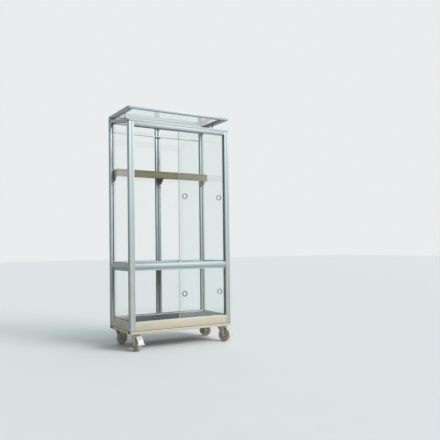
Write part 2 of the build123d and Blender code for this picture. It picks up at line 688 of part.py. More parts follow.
def make_props():
    """Folding props that hold the lid, each riveted into its side rail."""
    top = LID_BOTTOM + PROP_OVERLAP
    half = PROP_WIDTH / 2
    outer = -INNER_X + PROP_SIDE_PLAY
    inner = outer + PROP_THICKNESS
    outline = Pos(PROP_Y, PROP_PIVOT_Z) * Circle(PROP_EYE / 2)
    outline += Pos(PROP_Y, top - half) * Circle(half)
    outline += rect(PROP_Y - half, PROP_Y + half, PROP_PIVOT_Z, top - half)
    prop = along_x(outline, outer, inner)
    pin = Pos(PROP_Y, PROP_PIVOT_Z) * Circle(PROP_PIN / 2)
    prop += along_x(pin, -INNER_X - PROP_PIN_DEPTH, outer)
    head = Pos(PROP_Y, PROP_PIVOT_Z) * Circle(PROP_PIN_HEAD / 2)
    prop += along_x(head, inner, inner + PROP_PIN_HEAD_HEIGHT)
    save("left_lid_prop", prop)
    save("right_lid_prop", mirror(prop, Plane.YZ))


def castor_places():
    """Name, swivel axis and turn of each castor."""
    for name, turn in CASTOR_TURNS.items():
        sx = 1 if "right" in name else -1
        sy = 1 if "rear" in name else -1
        yield name, sx * (HALF_WIDTH - CASTOR_INSET), sy * (REAR - CASTOR_INSET), turn


def castor_plate():
    """Top plate with its kingpin."""
    plate = block(-PLATE / 2, PLATE / 2, -PLATE / 2, PLATE / 2,
                  CASTOR_HEIGHT - PLATE_THICKNESS, CASTOR_HEIGHT)
    pin = along_z(Circle(KINGPIN / 2), CROWN_LOW - KINGPIN_TAIL, CASTOR_HEIGHT - PLATE_THICKNESS)
    return plate + pin


def castor_fork(with_pedal):
    """Pressed fork with its axle, and a cross pin if it has a pedal. The trail points to +X."""
    crown = along_z(Circle(CROWN_DIAMETER / 2), CROWN_LOW, CROWN_TOP)
    crown = chamfer(crown.edges().group_by(Axis.Z)[-1], CROWN_CHAMFER)
    crown -= along_z(Circle(KINGPIN / 2 + AXLE_PLAY), CROWN_LOW, CROWN_TOP)
    inner = FORK_GAP / 2
    outer = inner + FORK_STEEL
    leg = Polygon(
        (-CROWN_DIAMETER / 2 + FORK_BACK_INSET, CROWN_LOW + FORK_LAP),
        (CROWN_DIAMETER / 2 + FORK_FRONT_REACH, CROWN_LOW + FORK_LAP),
        (CASTOR_TRAIL + FORK_FOOT, WHEEL_RADIUS + FORK_SHOULDER),
        (CASTOR_TRAIL + FORK_FOOT, WHEEL_RADIUS),
        (CASTOR_TRAIL - FORK_FOOT, WHEEL_RADIUS),
        align=None,
    )
    leg += Pos(CASTOR_TRAIL, WHEEL_RADIUS) * Circle(FORK_FOOT)
    legs = along_y(leg, inner, outer) + along_y(leg, -outer, -inner)
    axle = along_y(Pos(CASTOR_TRAIL, WHEEL_RADIUS) * Circle(AXLE / 2),
                   -outer - AXLE_END, outer + AXLE_END)
    fork = crown + legs + axle
    if with_pedal:
        pin = Pos(PEDAL_PIN_OUT, PEDAL_PIN_HEIGHT) * Circle(PEDAL_PIN / 2)
        fork += along_y(pin, -inner, inner)
    return fork


def castor_wheel():
    """Wheel with a ribbed hub, a rim and a rounded tread, on the axle's line."""
    bore = AXLE / 2 + AXLE_PLAY
    rim = WHEEL_RADIUS - TREAD_THICKNESS
    profile = rect(bore, HUB_BOSS / 2, -HUB_LENGTH / 2, HUB_LENGTH / 2)
    profile += rect(bore, rim + HUB_LAP, -HUB_WEB / 2, HUB_WEB / 2)
    profile += rect(rim - HUB_RIM, rim, -TREAD_WIDTH / 2 + HUB_RIM_INSET,
                    TREAD_WIDTH / 2 - HUB_RIM_INSET)
    tread = rect(rim, WHEEL_RADIUS, -TREAD_WIDTH / 2, TREAD_WIDTH / 2)
    tread = fillet(tread.vertices().group_by(Axis.X)[-1], TREAD_ROUND)
    wheel = revolve(Plane.XZ * (profile + tread), Axis.Z)
    wheel = Rot(90, 0, 0) * wheel
    return Pos(CASTOR_TRAIL, 0, WHEEL_RADIUS) * wheel


def around_axle(distance, angle):
    """Point in (x, z) at a distance from the axle and an angle above the trail's line."""
    turn = math.radians(angle)
    return (CASTOR_TRAIL + distance * math.cos(turn), WHEEL_RADIUS + distance * math.sin(turn))


def castor_pedal():
    """Brake pedal bent round the wheel, with its barrel on the cross pin of the fork."""
    outer = WHEEL_RADIUS + PEDAL_GAP
    inner = outer - PEDAL_STEEL
    plate = Polygon(
        (PEDAL_PIN_OUT, PEDAL_TOP),
        *[around_axle(outer, angle) for angle in PEDAL_ANGLES],
        *[around_axle(inner, angle) for angle in reversed(PEDAL_ANGLES)],
        (PEDAL_PIN_OUT, PEDAL_TOP - PEDAL_STEEL),
        align=None,
    )
    neck = PEDAL_NECK / 2
    half = PEDAL_WIDTH / 2
    foot = PEDAL_FOOT / 2
    bottom = WHEEL_RADIUS - CUT_MARGIN
    top = PEDAL_TOP + CUT_MARGIN
    far = CASTOR_TRAIL + outer + CUT_MARGIN
    outline = Polygon(
        (-foot, bottom),
        (foot, bottom),
        (foot, WHEEL_RADIUS + PEDAL_FLARE_BOTTOM),
        (half, WHEEL_RADIUS + PEDAL_FLARE_TOP),
        (half, top),
        (-half, top),
        (-half, WHEEL_RADIUS + PEDAL_FLARE_TOP),
        (-foot, WHEEL_RADIUS + PEDAL_FLARE_BOTTOM),
        align=None,
    )
    shape = block(PEDAL_PIN_OUT, PEDAL_NECK_END, -neck, neck, bottom, top)
    shape += along_x(outline, PEDAL_NECK_END, far)
    pedal = along_y(plate, -foot, foot) & shape
    middle = (PEDAL_ANGLES[0] + PEDAL_ANGLES[1]) / 2
    hole_x, hole_z = around_axle(inner, middle)
    turn = math.radians(middle)
    face = Plane((hole_x, 0, hole_z), x_dir=(0, 1, 0), z_dir=(math.cos(turn), 0, math.sin(turn)))
    pedal -= extrude(face * Circle(PEDAL_HOLE / 2), PEDAL_HOLE, both=True)

    centre = Pos(PEDAL_PIN_OUT, PEDAL_PIN_HEIGHT)
    reach = FORK_GAP / 2 - PEDAL_END_PLAY
    pedal += along_y(centre * Circle(PEDAL_BARREL / 2), -reach, reach)
    pedal -= along_y(centre * Circle(PEDAL_PIN / 2 + AXLE_PLAY), -reach, reach)
    return pedal


def make_castors():
    """Four castors, with brake pedals on the front pair."""
    plates = []
    for name, x, y, turn in castor_places():
        plates.append(Pos(x, y) * castor_plate())
        place = Pos(x, y) * Rot(0, 0, turn)
        braked = name.startswith("front")
        save(f"{name}_fork", place * castor_fork(braked))
        save(f"{name}_wheel", place * castor_wheel())
        if braked:
            save(f"{name}_pedal", place * castor_pedal())
    save("castor_plates", *plates)


def main():
    """Write every piece."""
    os.makedirs("parts", exist_ok=True)
    make_posts()
    make_base()
    make_middle()
    make_top()
    make_fixed_glass()
    make_mullion_and_bar()
    make_shelf()
    make_doors()
    make_hinge()
    make_lid()
    make_props()
    make_castors()


if __name__ == "__main__":
    main()
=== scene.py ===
"""Finishes and small pieces of a tall glass greenhouse cabinet on castors.

Metres. +X is right seen from the front, +Y is to the rear, +Z is up.
"""
import json
import math

import bpy
from mathutils import Matrix, Vector


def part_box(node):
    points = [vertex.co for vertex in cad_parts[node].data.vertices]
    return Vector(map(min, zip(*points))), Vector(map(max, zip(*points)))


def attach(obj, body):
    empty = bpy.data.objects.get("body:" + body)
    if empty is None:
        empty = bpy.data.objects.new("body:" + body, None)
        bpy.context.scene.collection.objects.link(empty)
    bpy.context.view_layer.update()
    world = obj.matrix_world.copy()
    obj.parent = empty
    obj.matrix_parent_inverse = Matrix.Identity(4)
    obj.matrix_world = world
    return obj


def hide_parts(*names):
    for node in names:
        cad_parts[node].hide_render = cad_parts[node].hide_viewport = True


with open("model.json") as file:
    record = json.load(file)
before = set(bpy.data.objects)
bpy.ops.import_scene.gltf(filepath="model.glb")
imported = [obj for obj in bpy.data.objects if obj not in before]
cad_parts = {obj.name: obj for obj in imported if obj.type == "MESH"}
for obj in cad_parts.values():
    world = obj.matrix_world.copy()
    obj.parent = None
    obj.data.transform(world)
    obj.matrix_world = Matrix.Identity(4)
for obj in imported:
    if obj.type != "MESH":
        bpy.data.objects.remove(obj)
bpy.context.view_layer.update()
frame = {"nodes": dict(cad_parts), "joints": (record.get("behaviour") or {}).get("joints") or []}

bl_info = {
    "name": "Glass Greenhouse Cabinet",
    "version": (1, 0, 0),
    "blender": (4, 5, 0),
    "location": "3D View > Sidebar > Greenhouse",
    "description": "Dresses a wheeled glass greenhouse cabinet piece by piece",
    "category": "Object",
}

CABINET = "cabinet"
CASTORS = ("front_left", "front_right", "rear_left", "rear_right")
SIDES = {"left": -1.0, "right": 1.0}
X_AXIS = Vector((1.0, 0.0, 0.0))
Y_AXIS = Vector((0.0, 1.0, 0.0))
Z_AXIS = Vector((0.0, 0.0, 1.0))

# Profiles grouped by the direction that they run in
UPRIGHTS = ("front_left_post", "front_right_post", "rear_left_post", "rear_right_post",
            "rear_mullion")
WIDE_RAILS = ("front_mid_rail", "rear_mid_rail", "front_top_rail", "front_head_rail",
              "rear_top_rail", "hinge_bar")
DEEP_RAILS = ("left_mid_rail", "right_mid_rail", "left_top_rail", "right_top_rail")
WIDE_BASES = ("front_base", "rear_base")
DEEP_BASES = ("left_base", "right_base")
FLOORS = ("base_floor", "mid_floor")

# Fixed panes with the way their faces look, and sliding panes with their bodies
FIXED_GLASS = {"left_glass": X_AXIS, "right_glass": X_AXIS, "rear_glass": Y_AXIS}
DOORS = {"upper_left_pane": "upper_left_door", "upper_right_pane": "upper_right_door",
         "lower_left_pane": "lower_left_door", "lower_right_pane": "lower_right_door"}

MERGE_DISTANCE = 0.00001
FLAT_ANGLE = math.radians(0.5)
SMOOTH_ANGLE = math.radians(32.0)
SHARP_ANGLE = math.radians(35.0)
FINE_STEPS = 72
COARSE_STEPS = 32


def colour_setting(name, description, default):
    """Colour that can be changed in the sidebar."""
    return bpy.props.FloatVectorProperty(
        name=name, description=description, subtype="COLOR", size=3, min=0.0, max=1.0,
        default=default)


def length_setting(name, description, least, most, default):
    """Length that can be changed in the sidebar."""
    return bpy.props.FloatProperty(
        name=name, description=description, unit="LENGTH", min=least, max=most,
        default=default)


class GreenhouseFinish(bpy.types.PropertyGroup):
    """Colours of the materials."""

    # Silver grey of the metal with a blue tint that is a painted reflection of the sky
    aluminium: colour_setting(
        "Aluminium", "Extruded posts and rails", (0.44, 0.53, 0.565))
    # Beige grey of the metal and its dust, warmed as painted bounce light from a sunlit wooden
    # deck
    base_aluminium: colour_setting(
        "Base aluminium", "Sill and lip of the base", (0.61, 0.57, 0.47))
    # Bright colour of the rounded edges: partly rubbed metal, partly a painted highlight
    bare_edge: colour_setting(
        "Bare edge", "Rubbed edges of the profiles", (0.90, 0.91, 0.91))
    dust: colour_setting(
        "Dust", "Garden dust on the lower pieces", (0.47, 0.43, 0.36))
    glass: colour_setting(
        "Glass", "Tint of the panes", (0.955, 0.982, 0.976))
    glass_edge: colour_setting(
        "Glass edge", "Ground edges of the panes", (0.58, 0.78, 0.76))
    # Dark blue-teal: a painted reflection of a dark wall on the trays' metal
    sheet: colour_setting(
        "Floor sheet", "Folded floor trays", (0.09, 0.14, 0.17))
    wood_light: colour_setting(
        "Light wood", "Early wood of the shelf", (0.29, 0.25, 0.145))
    wood_dark: colour_setting(
        "Dark wood", "Late wood of the shelf", (0.17, 0.14, 0.07))
    coated_bar: colour_setting(
        "Coated bar", "Pale coat of the hanging bar", (0.76, 0.77, 0.76))
    pedal: colour_setting(
        "Pedal", "Bright plated brake pedals", (0.64, 0.65, 0.64))
    zinc: colour_setting(
        "Zinc", "Plated castor steel", (0.68, 0.66, 0.60))
    # Hub and tread are paler and warmer than their plastic and grey rubber: painted bounce light
    # from a sunlit deck
    hub: colour_setting(
        "Hub", "Pale plastic of the wheel hubs", (0.78, 0.74, 0.66))
    tread: colour_setting(
        "Tread", "Pale rubber of the wheel treads", (0.70, 0.64, 0.52))
    # Also the colour of the dark strip in the base's lip gap, which is painted shade
    rubber: colour_setting(
        "Rubber", "Glazing seals, strips and plugs", (0.028, 0.028, 0.03))
    finger_ring: colour_setting(
        "Finger ring", "Grey rings in the finger holes", (0.30, 0.31, 0.30))
    dark_steel: colour_setting(
        "Dark steel", "Painted lid props", (0.05, 0.055, 0.055))


class GreenhouseSizes(bpy.types.PropertyGroup):
    """Sizes of the small pieces and of the rounded edges."""

    profile_edge: length_setting(
        "Profile edge", "Rounding of the extruded edges", 0.0, 0.003, 0.0008)
    glass_edge: length_setting(
        "Glass arris", "Ground arris of the panes", 0.0, 0.0015, 0.0006)
    seal_width: length_setting(
        "Seal width", "Width of the glazing seal that shows", 0.001, 0.01, 0.0035)
    seal_thickness: length_setting(
        "Seal thickness", "How far the seal stands on the glass", 0.0005, 0.004, 0.0016)
    screw_diameter: length_setting(
        "Screw head", "Diameter of the screw heads", 0.003, 0.02, 0.0085)
    bolt_across: length_setting(
        "Bolt head", "Width of the castor bolts across their flats", 0.005, 0.02, 0.013)


class GreenhouseStage(bpy.types.PropertyGroup):
    """Floor, lights and background."""

    floor_size: length_setting("Floor", "Side of the floor", 2.0, 200.0, 60.0)
    sun_strength: bpy.props.FloatProperty(
        name="Sun", description="Strength of the soft sun", min=0.0, max=10.0, default=2.1)
    sun_width: bpy.props.FloatProperty(
        name="Sun width", description="Angle that the soft sun fills", subtype="ANGLE",
        min=0.0, max=1.5, default=0.5)
    sky_strength: bpy.props.FloatProperty(
        name="Sky", description="Strength of the soft light all round", min=0.0, max=5.0,
        default=0.80)
    bounce: colour_setting(
        "Bounce", "Colour of the light that the floor gives back", (0.50, 0.46, 0.39))
    background: colour_setting(
        "Background", "Colour behind the cabinet", (0.83, 0.84, 0.85))


def select_only(piece):
    """Select one object alone and make it active."""
    bpy.ops.object.select_all(action="DESELECT")
    piece.select_set(True)
    bpy.context.view_layer.objects.active = piece


def edit(piece, action="DESELECT"):
    """Enter edit mode on one piece with nothing selected, or with all of it."""
    select_only(piece)
    bpy.ops.object.mode_set(mode="EDIT")
    bpy.ops.mesh.select_all(action=action)


def leave_edit():
    """Return to object mode."""
    bpy.ops.object.mode_set(mode="OBJECT")


def pick_faces(piece, wanted):
    """Enter edit mode with the faces selected that a test on their normal accepts."""
    edit(piece)
    leave_edit()
    for polygon in piece.data.polygons:
        polygon.select = wanted(polygon.normal)
    bpy.ops.object.mode_set(mode="EDIT")
    bpy.ops.mesh.select_mode(type="FACE")


def settle(piece):
    """Put the piece's place into its mesh, so that its object sits at the origin."""
    select_only(piece)
    bpy.ops.object.transform_apply(location=True, rotation=True, scale=True)
    return piece


def added(primitive, **settings):
    """Add a primitive with nothing else selected."""
    bpy.ops.object.select_all(action="DESELECT")
    primitive(**settings)
    return bpy.context.active_object


def tidy_normals(piece):
    """Merge doubles and point the faces outwards."""
    edit(piece, "SELECT")
    bpy.ops.mesh.remove_doubles(threshold=MERGE_DISTANCE)
    bpy.ops.mesh.normals_make_consistent(inside=False)
    leave_edit()
    return piece


def round_edges(piece, width, segments=2, edge_slot=-1):
    """Round the sharp edges with an applied bevel."""
    select_only(piece)
    bevel = piece.modifiers.new("rounding", "BEVEL")
    bevel.width = width
    bevel.segments = segments
    bevel.limit_method = "ANGLE"
    bevel.angle_limit = SHARP_ANGLE
    bevel.material = edge_slot
    bevel.use_clamp_overlap = True
    bpy.ops.object.modifier_apply(modifier=bevel.name)
    return piece


def smooth(piece):
    """Shade smooth over shallow edges."""
    select_only(piece)
    bpy.ops.object.shade_smooth_by_angle(angle=SMOOTH_ANGLE)
    return piece


def coat(piece, *finishes):
    """Give a piece its finishes in order, by their names."""
    piece.data.materials.clear()
    for name in finishes:
        piece.data.materials.append(finish(name))
    return piece


def hand_over(piece, name, body, slot, *nodes):
    """Name a finished piece, put it on its body and let it stand for its nodes."""
    piece.name = name
    piece.data.name = name
    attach(piece, body)
    if nodes:
        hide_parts(*nodes)


def joined(pieces):
    """Join pieces into the first of them."""
    bpy.ops.object.select_all(action="DESELECT")
    for piece in pieces:
        piece.select_set(True)
    bpy.context.view_layer.objects.active = pieces[0]
    if len(pieces) > 1:
        bpy.ops.object.join()
    return pieces[0]


def copy_of(piece, matrix):
    """A copy with its own mesh, moved by a matrix."""
    twin = piece.copy()
    twin.data = piece.data.copy()
    bpy.context.scene.collection.objects.link(twin)
    twin.matrix_world = matrix
    return settle(twin)


def about_y(angle, centre):
    """Turn by an angle about an axis along Y through a point."""
    centre = Vector(centre)
    return (Matrix.Translation(centre) @ Matrix.Rotation(angle, 4, "Y")
            @ Matrix.Translation(-centre))


def merged_copy(node):
    """Copy of a construction piece with its loose triangles merged into whole faces."""
    source = frame["nodes"][node]
    piece = bpy.data.objects.new(f"{node}_copy", source.data.copy())
    bpy.context.scene.collection.objects.link(piece)
    edit(piece, "SELECT")
    bpy.ops.mesh.remove_doubles(threshold=MERGE_DISTANCE)
    bpy.ops.mesh.dissolve_limited(angle_limit=FLAT_ANGLE)
    leave_edit()
    return piece


def dress(nodes, body, slot, face, edge, width=None):
    """Rounded copies that stand for construction pieces, in a finish for face and edge; the
    bright edge finishes paint a highlight on the rounded edges.
    """
    width = width or bpy.context.scene.greenhouse_sizes.profile_edge
    for node in nodes:
        piece = coat(merged_copy(node), face, edge)
        smooth(round_edges(piece, width, edge_slot=1))
        hand_over(piece, f"{node}_rounded", body, slot, node)


def hand_over_rubber_and_painted_shade(pieces, name, body):
    """Join strips or seals into one dark rubber piece; the base's strip among them is painted
    shade.
    """
    hand_over(coat(joined(pieces), "Seal Rubber"), name, body, "castor_wheel")


def bar(low, high):
    """Square bar between two corners."""
    low = Vector(low)
    high = Vector(high)
    piece = added(bpy.ops.mesh.primitive_cube_add, size=1.0, location=(low + high) / 2)
    piece.scale = high - low
    return settle(piece)


def traced(points, closed):
    """Outline drawn by extruding one vertex from point to point."""
    piece = settle(added(bpy.ops.mesh.primitive_plane_add, size=0.001, location=points[0]))
    bpy.ops.object.mode_set(mode="EDIT")
    bpy.ops.mesh.select_mode(type="VERT")
    bpy.ops.mesh.select_all(action="SELECT")
    bpy.ops.mesh.merge(type="CENTER")
    for start, end in zip(points, points[1:]):
        step = Vector(end) - Vector(start)
        bpy.ops.mesh.extrude_region_move(TRANSFORM_OT_translate={"value": step})
    if closed:
        bpy.ops.mesh.select_all(action="SELECT")
        bpy.ops.mesh.edge_face_add()
    leave_edit()
    return piece


def turned(points, centre, axis, steps):
    """Solid turned about an axis from an outline of points."""
    piece = traced(points, closed=False)
    bpy.ops.object.mode_set(mode="EDIT")
    bpy.ops.mesh.select_all(action="SELECT")
    bpy.ops.mesh.spin(steps=steps, angle=math.tau, center=centre, axis=axis)
    leave_edit()
    return tidy_normals(piece)


def turned_about_y(outline, centre):
    """Solid turned about an axis along Y from pairs of a radius and a place along it."""
    points = [(centre[0] + radius, y, centre[2]) for radius, y in outline]
    return turned(points, centre, Y_AXIS, FINE_STEPS)


def gasket(corners, rise):
    """Flat seal frame inside an opening, from its corners in order and the way it rises."""
    sizes = bpy.context.scene.greenhouse_sizes
    piece = traced(corners, closed=True)
    bpy.ops.object.mode_set(mode="EDIT")
    bpy.ops.mesh.select_mode(type="FACE")
    bpy.ops.mesh.select_all(action="SELECT")
    bpy.ops.mesh.inset(thickness=sizes.seal_width, use_boundary=True)
    bpy.ops.mesh.delete(type="FACE")
    bpy.ops.mesh.select_all(action="SELECT")
    bpy.ops.mesh.extrude_region_move(
        TRANSFORM_OT_translate={"value": rise * sizes.seal_thickness})
    leave_edit()
    return tidy_normals(piece)


def feed(tree, socket, value):
    """Link a socket to another one, or set it to a number or a tuple."""
    if isinstance(value, bpy.types.NodeSocket):
        tree.links.new(value, socket)
    else:
        socket.default_value = value


def math_node(tree, operation, first, second, clamp=False):
    """Math node fed by sockets or numbers."""
    node = tree.nodes.new("ShaderNodeMath")
    node.operation = operation
    node.use_clamp = clamp
    feed(tree, node.inputs[0], first)
    feed(tree, node.inputs[1], second)
    return node.outputs[0]


def vector_node(tree, operation, first, second):
    """Vector math node fed by sockets or tuples."""
    node = tree.nodes.new("ShaderNodeVectorMath")
    node.operation = operation
    feed(tree, node.inputs[0], first)
    feed(tree, node.inputs[1], second)
    return node


def plus_share(tree, value, share, weight, clamp=False):
    """Value with a weighted share added to it."""
    return math_node(tree, "ADD", value, math_node(tree, "MULTIPLY", share, weight), clamp)


def blend_value(tree, share, low, high):
    """Value that goes from low to high with a share."""
    return plus_share(tree, low, share, high - low)


def noise_node(tree, vector, scale, detail):
    """Noise texture, its scale a number or a socket."""
    node = tree.nodes.new("ShaderNodeTexNoise")
    node.inputs["Detail"].default_value = detail
    node.inputs["Roughness"].default_value = 0.55
    feed(tree, node.inputs["Vector"], vector)
    feed(tree, node.inputs["Scale"], scale)
    return node.outputs["Fac"]


def ramp_node(tree, value, low, high):
    """Smooth step of a value between two limits."""
    node = tree.nodes.new("ShaderNodeMapRange")
    node.interpolation_type = "SMOOTHSTEP"
    node.inputs["From Min"].default_value = low
    node.inputs["From Max"].default_value = high
    feed(tree, node.inputs["Value"], value)
    return node.outputs["Result"]


def mix_colour(tree, share, first, second):
    """Colour mix by a socket; each colour is a socket or a tuple."""
    node = tree.nodes.new("ShaderNodeMix")
    node.data_type = "RGBA"
    colour_a, colour_b = node.inputs[6], node.inputs[7]
    feed(tree, node.inputs["Factor"], share)
    feed(tree, colour_a, first)
    feed(tree, colour_b, second)
    return node.outputs[2]


def mix_shaders(tree, share, first, second):
    """Mix of two shaders by a socket."""
    mix = tree.nodes.new("ShaderNodeMixShader")
    feed(tree, mix.inputs[0], share)
    feed(tree, mix.inputs[1], first.outputs[0])
    feed(tree, mix.inputs[2], second.outputs[0])
    return mix.outputs[0]


def separate_node(tree, vector):
    """The three outputs of a vector, by the names of its axes."""
    node = tree.nodes.new("ShaderNodeSeparateXYZ")
    feed(tree, node.inputs[0], vector)
    return node.outputs


def drawn_lines(tree, given, result):
    """Fine lines that run along a drawn, rolled or sawn piece."""
    stretch = vector_node(tree, "MULTIPLY", given["Vector"], given["Across"]).outputs[0]
    fine_scale = math_node(tree, "MULTIPLY", given["Scale"], 4.0)
    streak = noise_node(tree, stretch, given["Scale"], detail=4.0)
    fine = noise_node(tree, stretch, fine_scale, detail=2.0)
    feed(tree, result["Streak"], ramp_node(tree, streak, low=0.30, high=0.72))
    feed(tree, result["Height"], plus_share(tree, fine, streak, weight=0.6))


def garden_dust(tree, given, result):
    """Dust and splashes, thicker near the floor and on faces that look up."""
    up_weight, patch_weight, speck_weight = 0.35, 0.75, 0.45
    height = separate_node(tree, given["Vector"])["Z"]
    facing = separate_node(tree, given["Normal"])["Z"]
    level = math_node(tree, "DIVIDE", height, given["Height"])
    low = math_node(tree, "SUBTRACT", 1.0, level, clamp=True)
    up = math_node(tree, "MULTIPLY", facing, up_weight, clamp=True)
    reach = math_node(tree, "ADD", low, up, clamp=True)
    blots = noise_node(tree, given["Vector"], scale=9.0, detail=5.0)
    patches = ramp_node(tree, blots, low=0.28, high=0.75)
    dots = noise_node(tree, given["Vector"], scale=210.0, detail=2.0)
    specks = ramp_node(tree, dots, low=0.52, high=0.66)
    cover = plus_share(tree, math_node(tree, "MULTIPLY", patches, patch_weight), specks,
                       speck_weight, clamp=True)
    amount = math_node(tree, "MULTIPLY", reach, given["Amount"])
    feed(tree, result["Mask"], math_node(tree, "MULTIPLY", cover, amount, clamp=True))


def rain_marks(tree, given, result):
    """Dried drops: small soft rings, in some places and not in others."""
    drops = tree.nodes.new("ShaderNodeTexVoronoi")
    feed(tree, drops.inputs["Vector"], given["Vector"])
    feed(tree, drops.inputs["Scale"], given["Scale"])
    inside = ramp_node(tree, drops.outputs["Distance"], low=0.16, high=0.24)
    outside = ramp_node(tree, drops.outputs["Distance"], low=0.25, high=0.34)
    ring = math_node(tree, "SUBTRACT", inside, outside, clamp=True)
    showers = noise_node(tree, given["Vector"], scale=6.0, detail=2.0)
    where = ramp_node(tree, showers, low=0.42, high=0.62)
    mask = math_node(tree, "MULTIPLY", math_node(tree, "MULTIPLY", ring, where),
                     given["Amount"], clamp=True)
    feed(tree, result["Mask"], mask)


def moulded_skin(tree, given, result):
    """Fine cast or moulded skin."""
    coarse_scale = math_node(tree, "MULTIPLY", given["Scale"], 0.06)
    coarse = noise_node(tree, given["Vector"], coarse_scale, detail=4.0)
    fine = noise_node(tree, given["Vector"], given["Scale"], detail=2.0)
    feed(tree, result["Shade"], ramp_node(tree, coarse, low=0.3, high=0.7))
    feed(tree, result["Height"], fine)


def wood_grain(tree, given, result):
    """Growth lines and fine fibres, both along X."""
    along_x = (0.07, 1.0, 1.0)
    stretch = vector_node(tree, "MULTIPLY", given["Vector"], along_x).outputs[0]
    rings = tree.nodes.new("ShaderNodeTexWave")
    rings.bands_direction = "DIAGONAL"
    rings.inputs["Distortion"].default_value = 5.0
    rings.inputs["Detail"].default_value = 3.0
    rings.inputs["Detail Scale"].default_value = 1.4
    feed(tree, rings.inputs["Vector"], stretch)
    feed(tree, rings.inputs["Scale"], given["Scale"])
    fibre_scale = math_node(tree, "MULTIPLY", given["Scale"], 14.0)
    feed(tree, result["Ring"], ramp_node(tree, rings.outputs["Fac"], low=0.15, high=0.95))
    feed(tree, result["Fibre"], noise_node(tree, stretch, fibre_scale, detail=4.0))


# Each shared group with what fills it, its inputs besides Vector, and its outputs
SHARED_GROUPS = {
    "Drawn Lines": (drawn_lines, {"Across": (1.0, 1.0, 1.0), "Scale": 300.0},
                    ("Streak", "Height")),
    "Garden Dust": (garden_dust, {"Normal": (0.0, 0.0, 1.0), "Height": 0.35, "Amount": 0.5},
                    ("Mask",)),
    "Rain Marks": (rain_marks, {"Scale": 90.0, "Amount": 0.5}, ("Mask",)),
    "Moulded Skin": (moulded_skin, {"Scale": 900.0}, ("Shade", "Height")),
    "Wood Grain": (wood_grain, {"Scale": 60.0}, ("Ring", "Fibre")),
}


def shared_group(name):
    """Shader group by its name, built the first time that it is asked for."""
    ready = bpy.data.node_groups.get(name)
    if ready:
        return ready
    fill, inputs, outputs = SHARED_GROUPS[name]
    number, vector = "NodeSocketFloat", "NodeSocketVector"
    tree = bpy.data.node_groups.new(name, "ShaderNodeTree")
    tree.interface.new_socket(name="Vector", in_out="INPUT", socket_type=vector)
    for label, value in inputs.items():
        kind = vector if isinstance(value, tuple) else number
        socket = tree.interface.new_socket(name=label, in_out="INPUT", socket_type=kind)
        socket.default_value = value
    for label in outputs:
        tree.interface.new_socket(name=label, in_out="OUTPUT", socket_type=number)
    source = tree.nodes.new("NodeGroupInput")
    sink = tree.nodes.new("NodeGroupOutput")
    fill(tree, source.outputs, sink.inputs)
    return tree


def use_group(tree, name, vector, **values):
    """Place a shared group in a material with its own values, for its outputs."""
    node = tree.nodes.new("ShaderNodeGroup")
    node.node_tree = shared_group(name)
    feed(tree, node.inputs["Vector"], vector)
    for label, value in values.items():
        feed(tree, node.inputs[label], value)
    return node.outputs


def ray_share(tree, *kinds):
    """Share that is 1 for rays of the kinds named."""
    rays = tree.nodes.new("ShaderNodeLightPath").outputs
    share = rays[kinds[0]]
    for kind in kinds[1:]:
        share = math_node(tree, "MAXIMUM", share, rays[kind])
    return share


def seen_or_mirrored(tree):
    """Share that is 1 for the rays of the eye, of metal and of glass."""
    return ray_share(tree, "Is Camera Ray", "Is Glossy Ray", "Is Transmission Ray")


def bump(tree, shader, height, strength, distance):
    """Feed a height to the shader's normal."""
    node = tree.nodes.new("ShaderNodeBump")
    node.inputs["Strength"].default_value = strength
    node.inputs["Distance"].default_value = distance
    feed(tree, node.inputs["Height"], height)
    feed(tree, shader.inputs["Normal"], node.outputs["Normal"])


def rgba(colour, factor=1.0):
    """Colour tuple with alpha, darkened or lightened."""
    return tuple(min(1.0, channel * factor) for channel in colour) + (1.0,)


def dust_mask(tree, place, height, amount):
    """Mask of the garden dust on a surface."""
    geometry = tree.nodes.new("ShaderNodeNewGeometry")
    dust = use_group(tree, "Garden Dust", place, Normal=geometry.outputs["Normal"],
                     Height=height, Amount=amount)
    return dust["Mask"]


def drawn_metal(tree, shader, place, colours, colour, across, roughness, dust_amount,
                dust_height=0.40, streak_depth=0.10, dust_light=1.0, metallic=0.30):
    """Extruded or rolled metal with lines along it, dried drops and dust near the floor; the
    dust's colour is scaled up as painted light or down as painted shade.
    """
    drop_shade = 0.80
    streak_gloss, drop_gloss, dust_gloss = 0.07, 0.18, 0.45
    paint = getattr(colours, colour)
    lines = use_group(tree, "Drawn Lines", place, Across=across, Scale=260.0)
    drops = use_group(tree, "Rain Marks", place, Scale=70.0, Amount=0.55)["Mask"]
    dust = dust_mask(tree, place, dust_height, dust_amount)
    metal = mix_colour(tree, lines["Streak"], rgba(paint), rgba(paint, 1.0 - streak_depth))
    marked = mix_colour(tree, drops, metal, rgba(paint, drop_shade))
    # The dust's colour is scaled by a factor: above 1 it is painted light, below 1 painted shade
    feed(tree, shader.inputs["Base Color"],
         mix_colour(tree, dust, marked, rgba(colours.dust, dust_light)))
    feed(tree, shader.inputs["Metallic"], blend_value(tree, dust, metallic, 0.0))
    gloss = blend_value(tree, lines["Streak"], roughness, roughness + streak_gloss)
    gloss = plus_share(tree, gloss, drops, drop_gloss)
    feed(tree, shader.inputs["Roughness"],
         plus_share(tree, gloss, dust, dust_gloss, clamp=True))
    bump(tree, shader, lines["Height"], strength=0.12, distance=0.0003)


